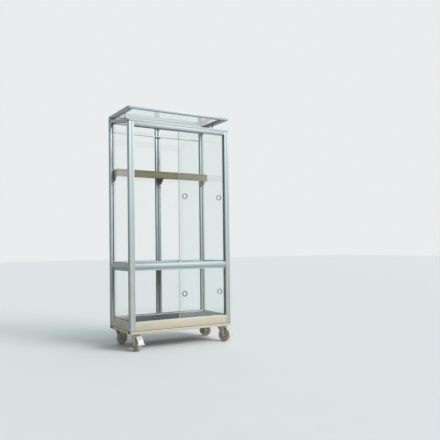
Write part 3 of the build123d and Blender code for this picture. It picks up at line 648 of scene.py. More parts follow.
def moulded(tree, shader, place, colours, colour, roughness, dust_amount, dust_height,
            skin_scale=900.0, shade_depth=0.25, bump_strength=0.2):
    """Plastic, rubber or paint with a fine skin and some dust."""
    shade_gloss, dust_gloss = 0.10, 0.3
    paint = getattr(colours, colour)
    skin = use_group(tree, "Moulded Skin", place, Scale=skin_scale)
    dust = dust_mask(tree, place, dust_height, dust_amount)
    body = mix_colour(tree, skin["Shade"], rgba(paint), rgba(paint, 1.0 - shade_depth))
    feed(tree, shader.inputs["Base Color"],
         mix_colour(tree, dust, body, rgba(colours.dust)))
    gloss = blend_value(tree, skin["Shade"], roughness, roughness + shade_gloss)
    feed(tree, shader.inputs["Roughness"],
         plus_share(tree, gloss, dust, dust_gloss, clamp=True))
    bump(tree, shader, skin["Height"], bump_strength, distance=0.0002)


def weathered_wood(tree, shader, place, colours):
    """Weathered wood with its grain along the shelf."""
    fibre_share = 0.45
    fibre_light = 1.25
    grain = use_group(tree, "Wood Grain", place, Scale=38.0)
    dust = dust_mask(tree, place, height=3.0, amount=0.30)
    rings = mix_colour(tree, grain["Ring"], rgba(colours.wood_light),
                       rgba(colours.wood_dark))
    fibres = ramp_node(tree, grain["Fibre"], low=0.35, high=0.75)
    wood = mix_colour(tree, math_node(tree, "MULTIPLY", fibres, fibre_share), rings,
                      rgba(colours.wood_light, fibre_light))
    feed(tree, shader.inputs["Base Color"],
         mix_colour(tree, dust, wood, rgba(colours.dust)))
    feed(tree, shader.inputs["Roughness"],
         blend_value(tree, grain["Fibre"], low=0.55, high=0.85))
    height = math_node(tree, "ADD", grain["Ring"], grain["Fibre"])
    bump(tree, shader, height, strength=0.35, distance=0.0005)


def clear_glass(tree, shader, place, colours):
    """Clear glass with faint smears, open to light so that it throws no black shadow."""
    smear_gloss, drop_gloss = 0.022, 0.10
    shader.inputs["Base Color"].default_value = rgba(colours.glass)
    shader.inputs["Transmission Weight"].default_value = 1.0
    shader.inputs["IOR"].default_value = 1.5
    drops = use_group(tree, "Rain Marks", place, Scale=42.0, Amount=0.6)["Mask"]
    haze = noise_node(tree, place, scale=4.0, detail=5.0)
    smear = ramp_node(tree, haze, low=0.50, high=0.80)
    gloss = math_node(tree, "MULTIPLY", smear, smear_gloss)
    feed(tree, shader.inputs["Roughness"], plus_share(tree, gloss, drops, drop_gloss))
    open_light = tree.nodes.new("ShaderNodeBsdfTransparent")
    open_light.inputs["Color"].default_value = rgba(colours.glass, 0.98)
    share = ray_share(tree, "Is Shadow Ray", "Is Diffuse Ray")
    feed(tree, tree.nodes["Material Output"].inputs["Surface"],
         mix_shaders(tree, share, shader, open_light))


def ground_edge(tree, shader, place, colours):
    """Ground edges of the panes, frosted and greener."""
    grind_light = 1.2
    grind = use_group(tree, "Moulded Skin", place, Scale=1500.0)
    feed(tree, shader.inputs["Base Color"],
         mix_colour(tree, grind["Shade"], rgba(colours.glass_edge, grind_light),
                    rgba(colours.glass_edge)))
    feed(tree, shader.inputs["Roughness"],
         blend_value(tree, grind["Shade"], low=0.30, high=0.48))
    shader.inputs["Transmission Weight"].default_value = 0.35
    bump(tree, shader, grind["Height"], strength=0.2, distance=0.0001)


def floor_paint(tree, shader, place, colours):
    """Pale floor for the eye, metal and glass; its bounce light has its own colour."""
    # The lamps don't quite light the floor to the backdrop's tone, so it is lifted to it
    lift, faint_lift = 1.05, 1.02
    stage = bpy.context.scene.greenhouse_stage
    tone = noise_node(tree, place, scale=3.0, detail=4.0)
    pale = mix_colour(tree, tone, rgba(stage.background, lift),
                      rgba(stage.background, faint_lift))
    feed(tree, shader.inputs["Base Color"],
         mix_colour(tree, seen_or_mirrored(tree), rgba(stage.bounce), pale))
    shader.inputs["Roughness"].default_value = 0.7


# Stretch of the drawn lines on profiles that run along each axis
ALONG_X = (0.012, 1.0, 1.0)
ALONG_Y = (1.0, 0.012, 1.0)
ALONG_Z = (1.0, 1.0, 0.012)
EVERY_WAY = (1.0, 1.0, 1.0)

# Each finish with what fills its material, and the values that it is given
FINISHES = {
    "Aluminium Wide": (drawn_metal, {
        "colour": "aluminium", "across": ALONG_X, "roughness": 0.46, "dust_amount": 0.35,
        "streak_depth": 0.07}),
    "Aluminium Deep": (drawn_metal, {
        "colour": "aluminium", "across": ALONG_Y, "roughness": 0.46, "dust_amount": 0.35,
        "streak_depth": 0.07}),
    "Aluminium Tall": (drawn_metal, {
        "colour": "aluminium", "across": ALONG_Z, "roughness": 0.46, "dust_amount": 0.95,
        "dust_height": 1.2, "streak_depth": 0.07}),
    # Front and rear base: dust lightened as painted sunlight on the sill
    "Base Aluminium Wide": (drawn_metal, {
        "colour": "base_aluminium", "across": ALONG_X, "roughness": 0.48,
        "dust_amount": 0.95, "dust_light": 1.40}),
    # Side bases: dust darkened as painted shade
    "Base Aluminium Deep": (drawn_metal, {
        "colour": "base_aluminium", "across": ALONG_Y, "roughness": 0.48,
        "dust_amount": 0.45, "dust_light": 0.7}),
    # Bright colour on the rounded edges: partly rubbed metal, partly a painted highlight
    "Bare Edge": (drawn_metal, {
        "colour": "bare_edge", "across": EVERY_WAY, "roughness": 0.36,
        "dust_amount": 0.30}),
    # Trays darkened and tinted as a painted reflection of a dark wall
    "Floor Sheet": (drawn_metal, {
        "colour": "sheet", "across": ALONG_X, "roughness": 0.60, "dust_amount": 0.12,
        "dust_height": 1.4, "streak_depth": 0.14, "metallic": 0.2}),
    "Zinc Steel": (drawn_metal, {
        "colour": "zinc", "across": EVERY_WAY, "roughness": 0.33, "dust_amount": 0.55,
        "dust_height": 0.18, "streak_depth": 0.22}),
    "Zinc Edge": (drawn_metal, {
        "colour": "bare_edge", "across": EVERY_WAY, "roughness": 0.28,
        "dust_amount": 0.35, "dust_height": 0.18, "streak_depth": 0.20}),
    "Pedal Steel": (drawn_metal, {
        "colour": "pedal", "across": EVERY_WAY, "roughness": 0.46, "dust_amount": 0.30,
        "dust_height": 0.12, "streak_depth": 0.08}),
    # Tread and hub colours carry painted bounce light under the cabinet
    "Tread Rubber": (moulded, {
        "colour": "tread", "roughness": 0.62, "dust_amount": 0.75, "dust_height": 0.13,
        "skin_scale": 1400.0, "bump_strength": 0.35}),
    # Also coats the dark strip in the base's lip gap, which is painted shade
    "Seal Rubber": (moulded, {
        "colour": "rubber", "roughness": 0.55, "dust_amount": 0.30, "dust_height": 0.5}),
    "Hub Plastic": (moulded, {
        "colour": "hub", "roughness": 0.42, "dust_amount": 0.60, "dust_height": 0.12,
        "shade_depth": 0.12}),
    "Ring Plastic": (moulded, {
        "colour": "finger_ring", "roughness": 0.40, "dust_amount": 0.15,
        "dust_height": 2.4, "shade_depth": 0.08}),
    "Dark Paint": (moulded, {
        "colour": "dark_steel", "roughness": 0.38, "dust_amount": 0.25,
        "dust_height": 2.2, "shade_depth": 0.20}),
    "Coated Bar": (moulded, {
        "colour": "coated_bar", "roughness": 0.32, "dust_amount": 0.10,
        "dust_height": 2.4, "shade_depth": 0.06}),
    "Shelf Wood": (weathered_wood, {}),
    "Clear Glass": (clear_glass, {}),
    "Ground Glass Edge": (ground_edge, {}),
    "Floor": (floor_paint, {}),
}


def finish(name):
    """Material by its name, built the first time that it is asked for."""
    ready = bpy.data.materials.get(name)
    if ready:
        return ready
    fill, values = FINISHES[name]
    material = bpy.data.materials.new(name)
    material.use_nodes = True
    tree = material.node_tree
    place = tree.nodes.new("ShaderNodeTexCoord").outputs["Object"]
    fill(tree, tree.nodes["Principled BSDF"], place, bpy.context.scene.greenhouse_finish,
         **values)
    return material


class GREENHOUSE_OT_posts(bpy.types.Operator):
    """Round and coat the four corner posts and the rear mullion"""

    bl_idname = "greenhouse.posts"
    bl_label = "Posts"

    def execute(self, context):
        dress(UPRIGHTS, CABINET, "aluminium", "Aluminium Tall", "Bare Edge")
        self.channel_strip()
        return {"FINISHED"}

    def channel_strip(self):
        """Dark strip on the bottom of the mullion's channel, above and below the rail."""
        half_width = 0.0022
        strip_front = 0.0030
        strip_back = 0.0045
        low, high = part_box("rear_mullion")
        rail_low, rail_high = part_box("rear_mid_rail")
        x = (low.x + high.x) / 2
        strips = [bar((x - half_width, low.y + strip_front, z0),
                      (x + half_width, low.y + strip_back, z1))
                  for z0, z1 in ((low.z, rail_low.z), (rail_high.z, high.z))]
        hand_over_rubber_and_painted_shade(strips, "rear_mullion_strip", CABINET)


class GREENHOUSE_OT_rails(bpy.types.Operator):
    """Round and coat the middle and top rails"""

    bl_idname = "greenhouse.rails"
    bl_label = "Rails"

    def execute(self, context):
        dress(WIDE_RAILS, CABINET, "aluminium", "Aluminium Wide", "Bare Edge")
        dress(DEEP_RAILS, CABINET, "aluminium", "Aluminium Deep", "Bare Edge")
        return {"FINISHED"}


class GREENHOUSE_OT_base(bpy.types.Operator):
    """Round and coat the base members, their gussets and the floor trays"""

    bl_idname = "greenhouse.base"
    bl_label = "Base"

    def execute(self, context):
        dress(WIDE_BASES, CABINET, "aluminium", "Base Aluminium Wide", "Bare Edge")
        dress(DEEP_BASES, CABINET, "aluminium", "Base Aluminium Deep", "Bare Edge")
        dress(FLOORS, CABINET, "floor_sheet", "Floor Sheet", "Bare Edge")
        dress(("corner_gussets",), CABINET, "zinc_steel", "Zinc Steel", "Zinc Edge")
        self.joint_strip()
        return {"FINISHED"}

    def joint_strip(self):
        """Dark strip set back in the gap between the lip and the sill, all round: painted shade
        that darkens the gap.
        """
        gap_height = 0.004
        gap_depth = 0.007
        set_back = 0.0015
        low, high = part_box("front_base")
        z1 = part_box("front_right_post")[0].z
        z0 = z1 - gap_height
        x1 = high.x - set_back
        y0 = low.y + set_back
        y1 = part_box("rear_base")[1].y - set_back
        width = gap_depth - set_back
        runs = [bar((-x1, y0, z0), (x1, y0 + width, z1)),
                bar((-x1, y1 - width, z0), (x1, y1, z1)),
                bar((-x1, y0 + width, z0), (width - x1, y1 - width, z1)),
                bar((x1 - width, y0 + width, z0), (x1, y1 - width, z1))]
        hand_over_rubber_and_painted_shade(runs, "base_joint_strip", CABINET)


def ground_pane(piece, node, body, faces_along):
    """Pane that stands for its node, clear where it looks along the axis."""
    face_limit = 0.99
    coat(piece, "Clear Glass", "Ground Glass Edge")
    for polygon in piece.data.polygons:
        is_face = abs(polygon.normal.dot(faces_along)) > face_limit
        polygon.material_index = 0 if is_face else 1
    hand_over(smooth(piece), f"{node}_ground", body, "glass", node)


def fixed_pane(node, body, faces_along):
    """Pane with a ground arris all round."""
    arris = bpy.context.scene.greenhouse_sizes.glass_edge
    ground_pane(round_edges(merged_copy(node), arris, segments=1), node, body, faces_along)


class GREENHOUSE_OT_glass(bpy.types.Operator):
    """Give the fixed panes their ground edges"""

    bl_idname = "greenhouse.glass"
    bl_label = "Fixed glass"

    def execute(self, context):
        for node, faces_along in FIXED_GLASS.items():
            fixed_pane(node, CABINET, faces_along)
        return {"FINISHED"}


def cut_away(piece, cutter):
    """Take one solid out of another; the cutter is used up."""
    select_only(piece)
    cut = piece.modifiers.new("cut", "BOOLEAN")
    cut.operation = "DIFFERENCE"
    cut.solver = "EXACT"
    cut.object = cutter
    bpy.ops.object.modifier_apply(modifier=cut.name)
    bpy.data.objects.remove(cutter)


def hole_in(node):
    """Centre and radius of the round hole through a pane."""
    margin = 0.001
    low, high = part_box(node)
    corners = [vertex.co for vertex in frame["nodes"][node].data.vertices]
    rim = [p for p in corners
           if min(p.x - low.x, high.x - p.x, p.z - low.z, high.z - p.z) > margin]
    left = min(p.x for p in rim)
    right = max(p.x for p in rim)
    bottom = min(p.z for p in rim)
    top = max(p.z for p in rim)
    centre = Vector(((left + right) / 2, (low.y + high.y) / 2, (bottom + top) / 2))
    return centre, (right - left) / 2


def sliding_pane(node, body):
    """Pane with a ground arris all round and a finger hole that is ground at both rims."""
    arris = bpy.context.scene.greenhouse_sizes.glass_edge
    beyond = 0.001
    low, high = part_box(node)
    centre, radius = hole_in(node)
    piece = round_edges(bar(low, high), arris, segments=1)
    outline = [(0.0, low.y - beyond), (radius + arris + beyond, low.y - beyond),
               (radius, low.y + arris), (radius, high.y - arris),
               (radius + arris + beyond, high.y + beyond), (0.0, high.y + beyond)]
    cut_away(piece, turned_about_y(outline, centre))
    ground_pane(piece, node, body, Y_AXIS)


def finger_ring(node, body):
    """Grey ring that lines a finger hole, with a thin flange on both faces of the pane."""
    flange_out = 0.0225
    flange = 0.0012
    chamfer = 0.0005
    liner = 0.0004
    low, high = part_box(node)
    centre, radius = hole_in(node)
    y0 = low.y - flange
    y1 = high.y + flange
    inner = radius - liner
    outline = [(inner, y0 + chamfer), (inner + chamfer, y0), (flange_out - chamfer, y0),
               (flange_out, y0 + chamfer), (flange_out, low.y), (radius, low.y),
               (radius, high.y), (flange_out, high.y), (flange_out, y1 - chamfer),
               (flange_out - chamfer, y1), (inner + chamfer, y1), (inner, y1 - chamfer),
               (inner, y0 + chamfer)]
    ring = smooth(coat(turned_about_y(outline, centre), "Ring Plastic"))
    hand_over(ring, f"{node}_finger_ring", body, "aluminium")


class GREENHOUSE_OT_doors(bpy.types.Operator):
    """Give the sliding panes their ground edges and the rings of their finger holes"""

    bl_idname = "greenhouse.doors"
    bl_label = "Sliding doors"

    def execute(self, context):
        for node, body in DOORS.items():
            sliding_pane(node, body)
            finger_ring(node, body)
        return {"FINISHED"}


class GREENHOUSE_OT_lid(bpy.types.Operator):
    """Dress the lid: rails, pane, seals and the plugs in the ends of its rails"""

    bl_idname = "greenhouse.lid"
    bl_label = "Lid"

    def execute(self, context):
        dress(("lid_hinge_rail", "lid_front_rail"), "lid", "aluminium", "Aluminium Wide",
              "Bare Edge")
        dress(("lid_left_rail", "lid_right_rail"), "lid", "aluminium", "Aluminium Deep",
              "Bare Edge")
        fixed_pane("lid_glass", "lid", Z_AXIS)
        self.seals()
        self.end_plugs()
        return {"FINISHED"}

    def seals(self):
        """Seal frames on both faces of the lid's pane."""
        glass_low, glass_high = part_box("lid_glass")
        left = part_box("lid_left_rail")[1].x
        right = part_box("lid_right_rail")[0].x
        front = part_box("lid_front_rail")[1].y
        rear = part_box("lid_left_rail")[1].y
        frames = []
        for level, rise in ((glass_high.z, Z_AXIS), (glass_low.z, -Z_AXIS)):
            corners = [(left, front, level), (right, front, level),
                       (right, rear, level), (left, rear, level)]
            frames.append(gasket(corners, rise))
        hand_over_rubber_and_painted_shade(frames, "lid_seal", "lid")

    def end_plugs(self):
        """Dark plugs in the open ends of the hinge rail and the front rail."""
        wall = 0.0022
        plug = 0.008
        sunk = 0.0003
        rounding = 0.0005
        rail_depth = 0.028
        side_low, side_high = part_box("lid_left_rail")
        front_low, front_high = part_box("lid_front_rail")
        plugs = []
        for low, high in (
                ((side_high.y, side_low.z), (side_high.y + rail_depth, side_high.z)),
                ((front_low.y, front_low.z), (front_high.y, front_high.z))):
            for side in SIDES.values():
                ends = (side * (front_high.x - sunk), side * (front_high.x - plug))
                x0, x1 = sorted(ends)
                block = bar((x0, low[0] + wall, low[1] + wall),
                            (x1, high[0] - wall, high[1] - wall))
                plugs.append(round_edges(block, rounding))
        hand_over_rubber_and_painted_shade([smooth(joined(plugs))], "lid_end_caps", "lid")


class GREENHOUSE_OT_props(bpy.types.Operator):
    """Coat the two lid props in dark paint"""

    bl_idname = "greenhouse.props"
    bl_label = "Lid props"

    def execute(self, context):
        rounding = 0.0004
        for side in SIDES:
            dress((f"{side}_lid_prop",), f"{side}_prop", "prop_steel", "Dark Paint",
                  "Dark Paint", rounding)
        return {"FINISHED"}


class GREENHOUSE_OT_shelf(bpy.types.Operator):
    """Round and coat the wooden shelf, its fascia and its brackets"""

    bl_idname = "greenhouse.shelf"
    bl_label = "Shelf"

    def execute(self, context):
        rounding = 0.0012
        dress(("shelf_board", "shelf_fascia", "shelf_brackets"), CABINET, "shelf_wood",
              "Shelf Wood", "Shelf Wood", rounding)
        return {"FINISHED"}


class GREENHOUSE_OT_hanging_bar(bpy.types.Operator):
    """Coat the hanging bar and add its end flanges"""

    bl_idname = "greenhouse.hanging_bar"
    bl_label = "Hanging bar"

    def execute(self, context):
        flange_width = 0.0045
        flange_thickness = 0.0025
        low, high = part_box("hanging_bar")
        centre = (low + high) / 2
        radius = (high.z - low.z) / 2
        flange = radius + flange_width
        rings = []
        for end, inwards in ((low.x, flange_thickness), (high.x, -flange_thickness)):
            outline = [(end, centre.y, centre.z + radius),
                       (end + inwards * 2, centre.y, centre.z + radius),
                       (end + inwards, centre.y, centre.z + flange),
                       (end, centre.y, centre.z + flange),
                       (end, centre.y, centre.z + radius)]
            rings.append(turned(outline, centre, X_AXIS, COARSE_STEPS))
        flanges = smooth(coat(joined(rings), "Zinc Steel"))
        hand_over(flanges, "hanging_bar_flanges", CABINET, "aluminium")
        tube = smooth(coat(merged_copy("hanging_bar"), "Coated Bar"))
        hand_over(tube, "hanging_bar_tube", CABINET, "aluminium", "hanging_bar")
        return {"FINISHED"}


class GREENHOUSE_OT_seals(bpy.types.Operator):
    """Run rubber seals round the fixed panes, inside and outside"""

    bl_idname = "greenhouse.seals"
    bl_label = "Glazing seals"

    def execute(self, context):
        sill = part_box("front_base")[1].z
        mid_rail_low, mid_rail_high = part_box("rear_mid_rail")
        self.side_seals(sill, mid_rail_low.z, mid_rail_high.z)
        self.rear_seals(sill, mid_rail_low.z, mid_rail_high.z)
        return {"FINISHED"}

    def side_seals(self, sill, mid_low, mid_high):
        """Seals of both side panes, their upper frames following the sloping top rail."""
        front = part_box("front_left_post")[1].y
        rail_low, rail_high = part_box("left_top_rail")
        slope = (rail_high.z - self.rail_top(front)) / (rail_high.y - front)
        rear_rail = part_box("rear_top_rail")[0].z
        for side in SIDES:
            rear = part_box(f"rear_{side}_post")[0].y
            rear_top = min(rail_low.z + slope * (rear - front), rear_rail)
            glass_low, glass_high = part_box(f"{side}_glass")
            frames = []
            for x, rise in ((glass_low.x, -X_AXIS), (glass_high.x, X_AXIS)):
                for bottom, front_level, rear_level in (
                        (sill, mid_low, mid_low), (mid_high, rail_low.z, rear_top)):
                    corners = [(x, front, bottom), (x, rear, bottom),
                               (x, rear, rear_level), (x, front, front_level)]
                    frames.append(gasket(corners, rise))
            hand_over_rubber_and_painted_shade(frames, f"{side}_glass_seals", CABINET)

    def rear_seals(self, sill, mid_low, mid_high):
        """Seals of the four rear panes."""
        rear_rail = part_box("rear_top_rail")[0].z
        glass_low, glass_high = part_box("rear_glass")
        left_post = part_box("rear_left_post")[1].x
        right_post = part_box("rear_right_post")[0].x
        mullion_low, mullion_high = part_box("rear_mullion")
        frames = []
        for y, rise in ((glass_low.y, -Y_AXIS), (glass_high.y, Y_AXIS)):
            for x0, x1 in ((left_post, mullion_low.x), (mullion_high.x, right_post)):
                for z0, z1 in ((sill, mid_low), (mid_high, rear_rail)):
                    corners = [(x0, y, z0), (x1, y, z0), (x1, y, z1), (x0, y, z1)]
                    frames.append(gasket(corners, rise))
        hand_over_rubber_and_painted_shade(frames, "rear_glass_seals", CABINET)

    @staticmethod
    def rail_top(front):
        """Height of the side top rail's upper edge at its front end."""
        tolerance = 0.0005
        points = [v.co for v in frame["nodes"]["left_top_rail"].data.vertices]
        return max(p.z for p in points if abs(p.y - front) < tolerance)


def stood_out(piece, centre, outwards):
    """Turn a piece that was made along +Z to look outwards from its place."""
    turn = Z_AXIS.rotation_difference(Vector(outwards)).to_matrix().to_4x4()
    piece.matrix_world = Matrix.Translation(centre) @ turn
    return settle(piece)


def low_head(centre, outwards):
    """Low round screw head with a socket, which looks outwards from its place."""
    radius = bpy.context.scene.greenhouse_sizes.screw_diameter / 2
    height = 0.0009
    root = 0.0004
    arris = 0.0003
    socket = radius * 0.38
    socket_wall = height * 0.3
    socket_floor = height * 0.2
    outline = [(radius, 0.0, -root), (radius, 0.0, height - arris),
               (radius - arris, 0.0, height), (socket, 0.0, height),
               (socket, 0.0, socket_wall), (0.0, 0.0, socket_floor)]
    head = turned(outline, (0.0, 0.0, 0.0), Z_AXIS, COARSE_STEPS)
    return stood_out(head, centre, outwards)


class GREENHOUSE_OT_screws(bpy.types.Operator):
    """Sink the screws that hold the rails and the base into the posts"""

    bl_idname = "greenhouse.screws"
    bl_label = "Screws"

    def execute(self, context):
        foot_levels = (0.165, 0.197)
        into_mid_rail = 0.028
        under_top_rail = 0.015
        rail_levels = (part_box("rear_mid_rail")[0].z + into_mid_rail,
                       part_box("rear_top_rail")[0].z - under_top_rail)
        recess = 0.001
        behind_face = 0.02
        post_low, post_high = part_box("front_right_post")
        post_x = (post_low.x + post_high.x) / 2
        heads = [low_head((side * post_x, post_low.y + recess, level), -Y_AXIS)
                 for side in SIDES.values() for level in foot_levels]
        for label, side in SIDES.items():
            low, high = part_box(f"rear_{label}_post")
            middle = (low + high) / 2
            outwards = X_AXIS * side
            all_levels = foot_levels + rail_levels
            places = [((middle.x, high.y, level), Y_AXIS) for level in all_levels]
            places += [((side * post_high.x, middle.y, level), outwards)
                       for level in all_levels]
            heads += self.sunk(f"rear_{label}_post_rounded", places)
            places = [((side * post_high.x, post_low.y + behind_face, level), outwards)
                      for level in foot_levels + rail_levels[:1]]
            heads += self.sunk(f"front_{label}_post_rounded", places)
        screws = smooth(coat(joined(heads), "Zinc Steel"))
        hand_over(screws, "frame_screws", CABINET, "zinc_steel")
        return {"FINISHED"}

    @staticmethod
    def sunk(post_name, places):
        """Cut a round recess at each place and set a low head in it, under the surface."""
        depth = 0.0012
        play = 0.0003
        radius = bpy.context.scene.greenhouse_sizes.screw_diameter / 2 + play
        cutters = []
        heads = []
        for centre, outwards in places:
            cutter = added(bpy.ops.mesh.primitive_cylinder_add, vertices=COARSE_STEPS,
                           radius=radius, depth=depth * 2)
            cutters.append(stood_out(cutter, centre, outwards))
            heads.append(low_head(Vector(centre) - outwards * depth, outwards))
        cut_away(bpy.data.objects[post_name], joined(cutters))
        return heads


def hex_head(centre, outwards, across, height):
    """Hexagon head or nut with a chamfered crown."""
    chamfer = across * 0.09
    crown = height * 0.12
    arris = 0.0003
    upwards = 0.9
    head = settle(added(bpy.ops.mesh.primitive_cylinder_add, vertices=6,
                        radius=across / math.sqrt(3.0), depth=height,
                        location=(0.0, 0.0, height / 2)))
    pick_faces(head, lambda normal: normal.z > upwards)
    bpy.ops.mesh.inset(thickness=chamfer)
    bpy.ops.transform.translate(value=(0.0, 0.0, crown))
    leave_edit()
    return round_edges(stood_out(head, centre, outwards), arris)


def castor_places(name):
    """Swivel point and wheel centre of a castor, from its joints."""
    joints = {joint["name"]: joint for joint in frame["joints"]}
    return joints[f"{name}_swivel"]["pos_m"], joints[f"{name}_roll"]["pos_m"]


def castor_matrix(name):
    """From the castor's own frame, with its trail along +X, to its place."""
    swivel, axle = castor_places(name)
    turn = math.atan2(axle[1] - swivel[1], axle[0] - swivel[0])
    return Matrix.Translation((swivel[0], swivel[1], 0.0)) @ Matrix.Rotation(turn, 4, "Z")


def wheel_centre():
    """Centre of a wheel in the castor's own frame."""
    swivel, axle = castor_places(CASTORS[0])
    return math.hypot(axle[0] - swivel[0], axle[1] - swivel[1]), 0.0, axle[2]


def wheel_tyre(centre):
    """Rubber tread with rounded shoulders."""
    inner = 0.039
    outer = 0.050
    half_width = 0.016
    shoulder = 0.006
    shoulder_steps = 5
    quarter_turn = math.pi / 2
    outline = [(inner, -half_width)]
    for shoulder_y, start in ((-half_width + shoulder, -quarter_turn),
                              (half_width - shoulder, 0.0)):
        for step in range(shoulder_steps + 1):
            angle = start + step * quarter_turn / shoulder_steps
            outline.append((outer - shoulder + shoulder * math.cos(angle),
                            shoulder_y + shoulder * math.sin(angle)))
    outline += [(inner, half_width), (inner, -half_width)]
    return smooth(coat(turned_about_y(outline, centre), "Tread Rubber"))


def wheel_hub(centre):
    """Pale hub: rim, dished web, boss and ribs that stand out on both sides."""
    rim_out = 0.039
    rim_in = 0.033
    rim_half = 0.015
    web_half = 0.0045
    boss = 0.013
    boss_half = 0.0185
    bore = 0.0052
    chamfer = 0.001
    draft = 0.0012
    half = [(bore, boss_half), (boss - chamfer, boss_half), (boss, boss_half - chamfer),
            (boss + draft, web_half), (rim_in - chamfer, web_half), (rim_in, rim_half),
            (rim_out, rim_half)]
    outline = [(radius, -y) for radius, y in half] + half[::-1] + [(bore, -boss_half)]
    parts = [turned_about_y(outline, centre)]
    rib_count = 8
    rib_half_width = 0.0012
    rib_top = 0.0125
    rib_overlap = 0.001
    rib_rounding = 0.0005
    trail, _, axle_height = centre
    rib = bar((trail + boss, -rib_top, axle_height - rib_half_width),
              (trail + rim_in + rib_overlap, rib_top, axle_height + rib_half_width))
    round_edges(rib, rib_rounding)
    for index in range(rib_count):
        parts.append(copy_of(rib, about_y(index * math.tau / rib_count, centre)))
    bpy.data.objects.remove(rib)
    return smooth(coat(joined(parts), "Hub Plastic"))


class GREENHOUSE_OT_wheels(bpy.types.Operator):
    """Build the castor wheels: ribbed hubs with rubber treads"""

    bl_idname = "greenhouse.wheels"
    bl_label = "Wheels"

    def execute(self, context):
        centre = wheel_centre()
        parts = {"tread": wheel_tyre(centre), "hub": wheel_hub(centre)}
        for name in CASTORS:
            for label, part in parts.items():
                hand_over(copy_of(part, castor_matrix(name)), f"{name}_{label}",
                          f"{name}_wheel", "castor_wheel", f"{name}_wheel")
        for part in parts.values():
            bpy.data.objects.remove(part)
        return {"FINISHED"}


class GREENHOUSE_OT_forks(bpy.types.Operator):
    """Dress the castor forks, and add their axle nuts, swivel seals and plate bolts"""

    bl_idname = "greenhouse.forks"
    bl_label = "Castor forks"

    def execute(self, context):
        fork_rounding = 0.0007
        crown_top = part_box("front_left_fork")[1].z
        nuts = self.axle_nuts()
        seal = self.swivel_seal(crown_top)
        for name in CASTORS:
            body = f"{name}_castor"
            dress((f"{name}_fork",), body, "zinc_steel", "Zinc Steel", "Zinc Edge",
                  fork_rounding)
            matrix = castor_matrix(name)
            hand_over(copy_of(nuts, matrix), f"{name}_axle_nuts", body, "zinc_steel")
            hand_over(copy_of(seal, matrix), f"{name}_swivel_seal", body, "castor_wheel")
        bpy.data.objects.remove(nuts)
        bpy.data.objects.remove(seal)
        dress(("castor_plates",), CABINET, "zinc_steel", "Zinc Steel", "Zinc Edge")
        self.bolts(crown_top)
        return {"FINISHED"}

    def axle_nuts(self):
        """The two axle nuts of a castor, in its own frame."""
        fork_face = 0.022
        nut_across = 0.016
        nut_height = 0.0045
        trail, _, axle_height = wheel_centre()
        nuts = [hex_head((trail, side * fork_face, axle_height), Y_AXIS * side, nut_across,
                         nut_height)
                for side in SIDES.values()]
        return smooth(coat(joined(nuts), "Zinc Steel", "Zinc Edge"))

    def swivel_seal(self, crown_top):
        """Rubber ring at the top of a fork's crown, in the castor's own frame."""
        ring_radius = 0.028
        seal_radius = 0.0011
        seal = added(bpy.ops.mesh.primitive_torus_add, major_segments=64, minor_segments=10,
                     major_radius=ring_radius, minor_radius=seal_radius,
                     location=(0.0, 0.0, crown_top - seal_radius))
        return smooth(coat(settle(seal), "Seal Rubber"))

    def bolts(self, crown_top):
        """King bolt of each swivel, and the four bolts of each plate."""
        crown = 0.007
        king_gap = 0.0005
        king_across = 0.017
        king_height = 0.0045
        plate_thickness = 0.003
        bolt_offset = 0.032
        bolt_height = 0.004
        bolt_across = bpy.context.scene.greenhouse_sizes.bolt_across
        king_z = crown_top - crown - king_gap
        plate_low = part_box("castor_plates")[1].z - plate_thickness
        heads = []
        for name in CASTORS:
            x, y, _ = castor_matrix(name).translation
            heads.append(hex_head((x, y, king_z), -Z_AXIS, king_across, king_height))
            for dx in (-bolt_offset, bolt_offset):
                for dy in (-bolt_offset, bolt_offset):
                    heads.append(hex_head((x + dx, y + dy, plate_low), -Z_AXIS,
                                          bolt_across, bolt_height))
        bolts = smooth(coat(joined(heads), "Zinc Steel", "Zinc Edge"))
        hand_over(bolts, "castor_bolts", CABINET, "zinc_steel")


class GREENHOUSE_OT_pedals(bpy.types.Operator):
    """Dress the brake pedals and add the ridges on their treads"""

    bl_idname = "greenhouse.pedals"
    bl_label = "Brake pedals"

    def execute(self, context):
        rounding = 0.0005
        grip = self.grip()
        for name in CASTORS[:2]:
            body = f"{name}_brake"
            dress((f"{name}_pedal",), body, "zinc_steel", "Pedal Steel", "Zinc Edge",
                  rounding)
            hand_over(copy_of(grip, castor_matrix(name)), f"{name}_pedal_grip", body,
                      "zinc_steel")
        bpy.data.objects.remove(grip)
        return {"FINISHED"}

    def grip(self):
        """Ridges across the sloping tread of a pedal, in the castor's own frame."""
        knee_x, knee_z = 0.092, 0.0819
        tip_x, tip_z = 0.100, 0.050
        half_length = 0.0165
        radius = 0.0009
        rounding = radius * 0.6
        slope = math.atan2(tip_z - knee_z, tip_x - knee_x)
        ridges = []
        for share in (0.16, 0.33, 0.50, 0.67, 0.84):
            x = knee_x + (tip_x - knee_x) * share
            z = knee_z + (tip_z - knee_z) * share
            level = bar((x - radius, -half_length, z - radius),
                        (x + radius, half_length, z + radius))
            ridge = copy_of(level, about_y(-slope, (x, 0.0, z)))
            bpy.data.objects.remove(level)
            ridges.append(round_edges(ridge, rounding, segments=3))
        return smooth(coat(joined(ridges), "Zinc Edge"))


CAMERA_PLACE = (-1.939, -3.951, 0.759)
CAMERA_YAW = math.radians(31.22)
CAMERA_PITCH = math.radians(0.92)
CAMERA_ROLL = math.radians(0.64)
CAMERA_LENS = 44.84
CAMERA_SENSOR = 36.0
CAMERA_SHIFT_Y = 0.0416
SUN_FROM = (1.7, -2.9, 2.4)
SUN_COLOUR = (1.0, 0.97, 0.92)
BRIGHT_SIDE = (0.80, -0.52, 0.30)
SKY_LOW = (0.58, 0.59, 0.55, 1.0)
SKY_HIGH = (0.84, 0.95, 1.0, 1.0)
SKY_DARK_SIDE = (0.05, 0.055, 0.05, 1.0)


